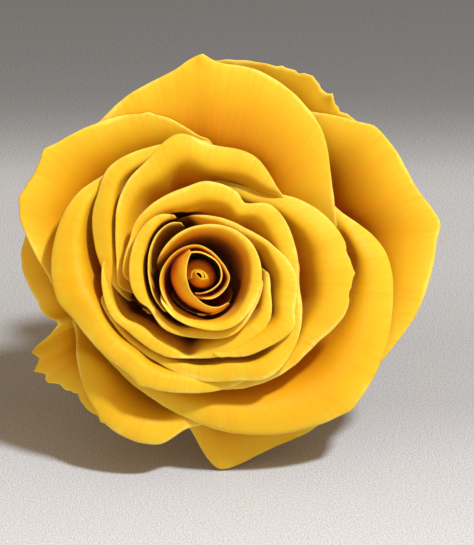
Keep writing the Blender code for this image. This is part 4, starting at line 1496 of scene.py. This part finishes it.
@dataclass(frozen=True)
class RoundLight:
    """A round studio light: its width in metres, its power in watts, and the way to it from the flower."""

    name: str
    size: float
    power: float
    colour: tuple[float, float, float]
    way: tuple[float, float, float]
    distance: float = 1.4

    def hang(self) -> None:
        """Hangs the light so that it points at the flower."""
        light = bpy.data.lights.new(self.name, "AREA")
        light.shape = "DISK"
        light.size = self.size
        light.energy = self.power
        light.color = self.colour
        lamp = bpy.data.objects.new(self.name, light)
        way = Vector(self.way).normalized()
        lamp.location = way * self.distance
        lamp.rotation_euler = (-way).to_track_quat("-Z", "Y").to_euler()
        bpy.context.scene.collection.objects.link(lamp)


@dataclass(frozen=True)
class Studio:
    """The paper, the lights, the room and the camera.

    Of the lights, the small one hangs high on the right, and the large faint one stands low in front.
    Distances to the camera and across the paper are in metres, and the view's centre is in mm.
    """

    axis: BloomAxis
    distance: float = 0.9
    pixels_per_mm: float = 6.7
    centre_height: float = 36.0
    centre_right: float = 5.5
    centre_up: float = 0.4
    paper_half: float = 1.5
    paper_drop: float = 0.00002
    lights: tuple[RoundLight, ...] = (
        RoundLight("key", 0.16, 21.5, (1.0, 0.99, 0.98), (0.39, -0.33, 0.86)),
        RoundLight("fill", 0.8, 4.6, (1.0, 0.8, 0.54), (-0.12, -0.97, 0.2)),
    )
    room_colour: Colour = (1.0, 0.73, 0.46, 1.0)
    room_strength: float = 0.5

    def build(self) -> None:
        """Sets the flower on paper, lights it and points the camera at it."""
        self.paper()
        for light in self.lights:
            light.hang()
        self.room()
        self.camera()

    def paper(self) -> None:
        """Lays the paper, a hair under the floor of the part."""
        mesh = bpy.data.meshes.new("paper")
        side = self.paper_half
        corners = [(-side, -side, 0), (side, -side, 0), (side, side, 0), (-side, side, 0)]
        mesh.from_pydata(corners, [], [(0, 1, 2, 3)])
        mesh.materials.append(PaperSweep().build())
        floor = bpy.data.objects.new("paper", mesh)
        floor.location.z = -self.paper_drop
        bpy.context.scene.collection.objects.link(floor)

    def room(self) -> None:
        """Fills in with the warm light of the room."""
        world = bpy.data.worlds.new("room")
        bpy.context.scene.world = world
        world.use_nodes = True
        background = world.node_tree.nodes["Background"]
        background.inputs["Color"].default_value = self.room_colour
        background.inputs["Strength"].default_value = self.room_strength

    def camera(self) -> None:
        """Looks at the bloom along its own axis, as the photograph does."""
        heart = self.axis.place(np.array(0.0), np.array(0.0), np.array(self.centre_height))
        centre = Vector(heart) + self.centre_right * Vector((1, 0, 0)) + self.centre_up * self.axis.upward
        lens = bpy.data.cameras.new("camera")
        lens.sensor_fit = "HORIZONTAL"
        wide = PHOTO_WIDTH / self.pixels_per_mm * MM
        lens.angle = 2 * math.atan(wide / 2 / self.distance)
        camera = bpy.data.objects.new("camera", lens)
        camera.location = centre * MM + self.axis.forward * self.distance
        camera.rotation_euler = (-self.axis.forward).to_track_quat("-Z", "Y").to_euler()
        bpy.context.scene.collection.objects.link(camera)
        bpy.context.scene.camera = camera
        # This transform keeps a bright yellow saturated.
        bpy.context.scene.view_settings.view_transform = "Standard"


def main() -> None:
    """Builds the flower and its stage."""
    axis = BloomAxis()
    leaves = Nest().settle(BUD_WRAPS + PETALS)
    Bloom(axis, leaves).build(PreservedPetal().build())
    Heart(axis, leaves).build(PreservedPetal(name="preserved bud petal", colour_and_shade_by_depth=BUD_COLOUR_AND_SHADE_BY_DEPTH).build())
    Calyx(axis).build(GreenSepal().build(), CutWood().build())
    Studio(axis).build()


if __name__ == "__main__":
    main()
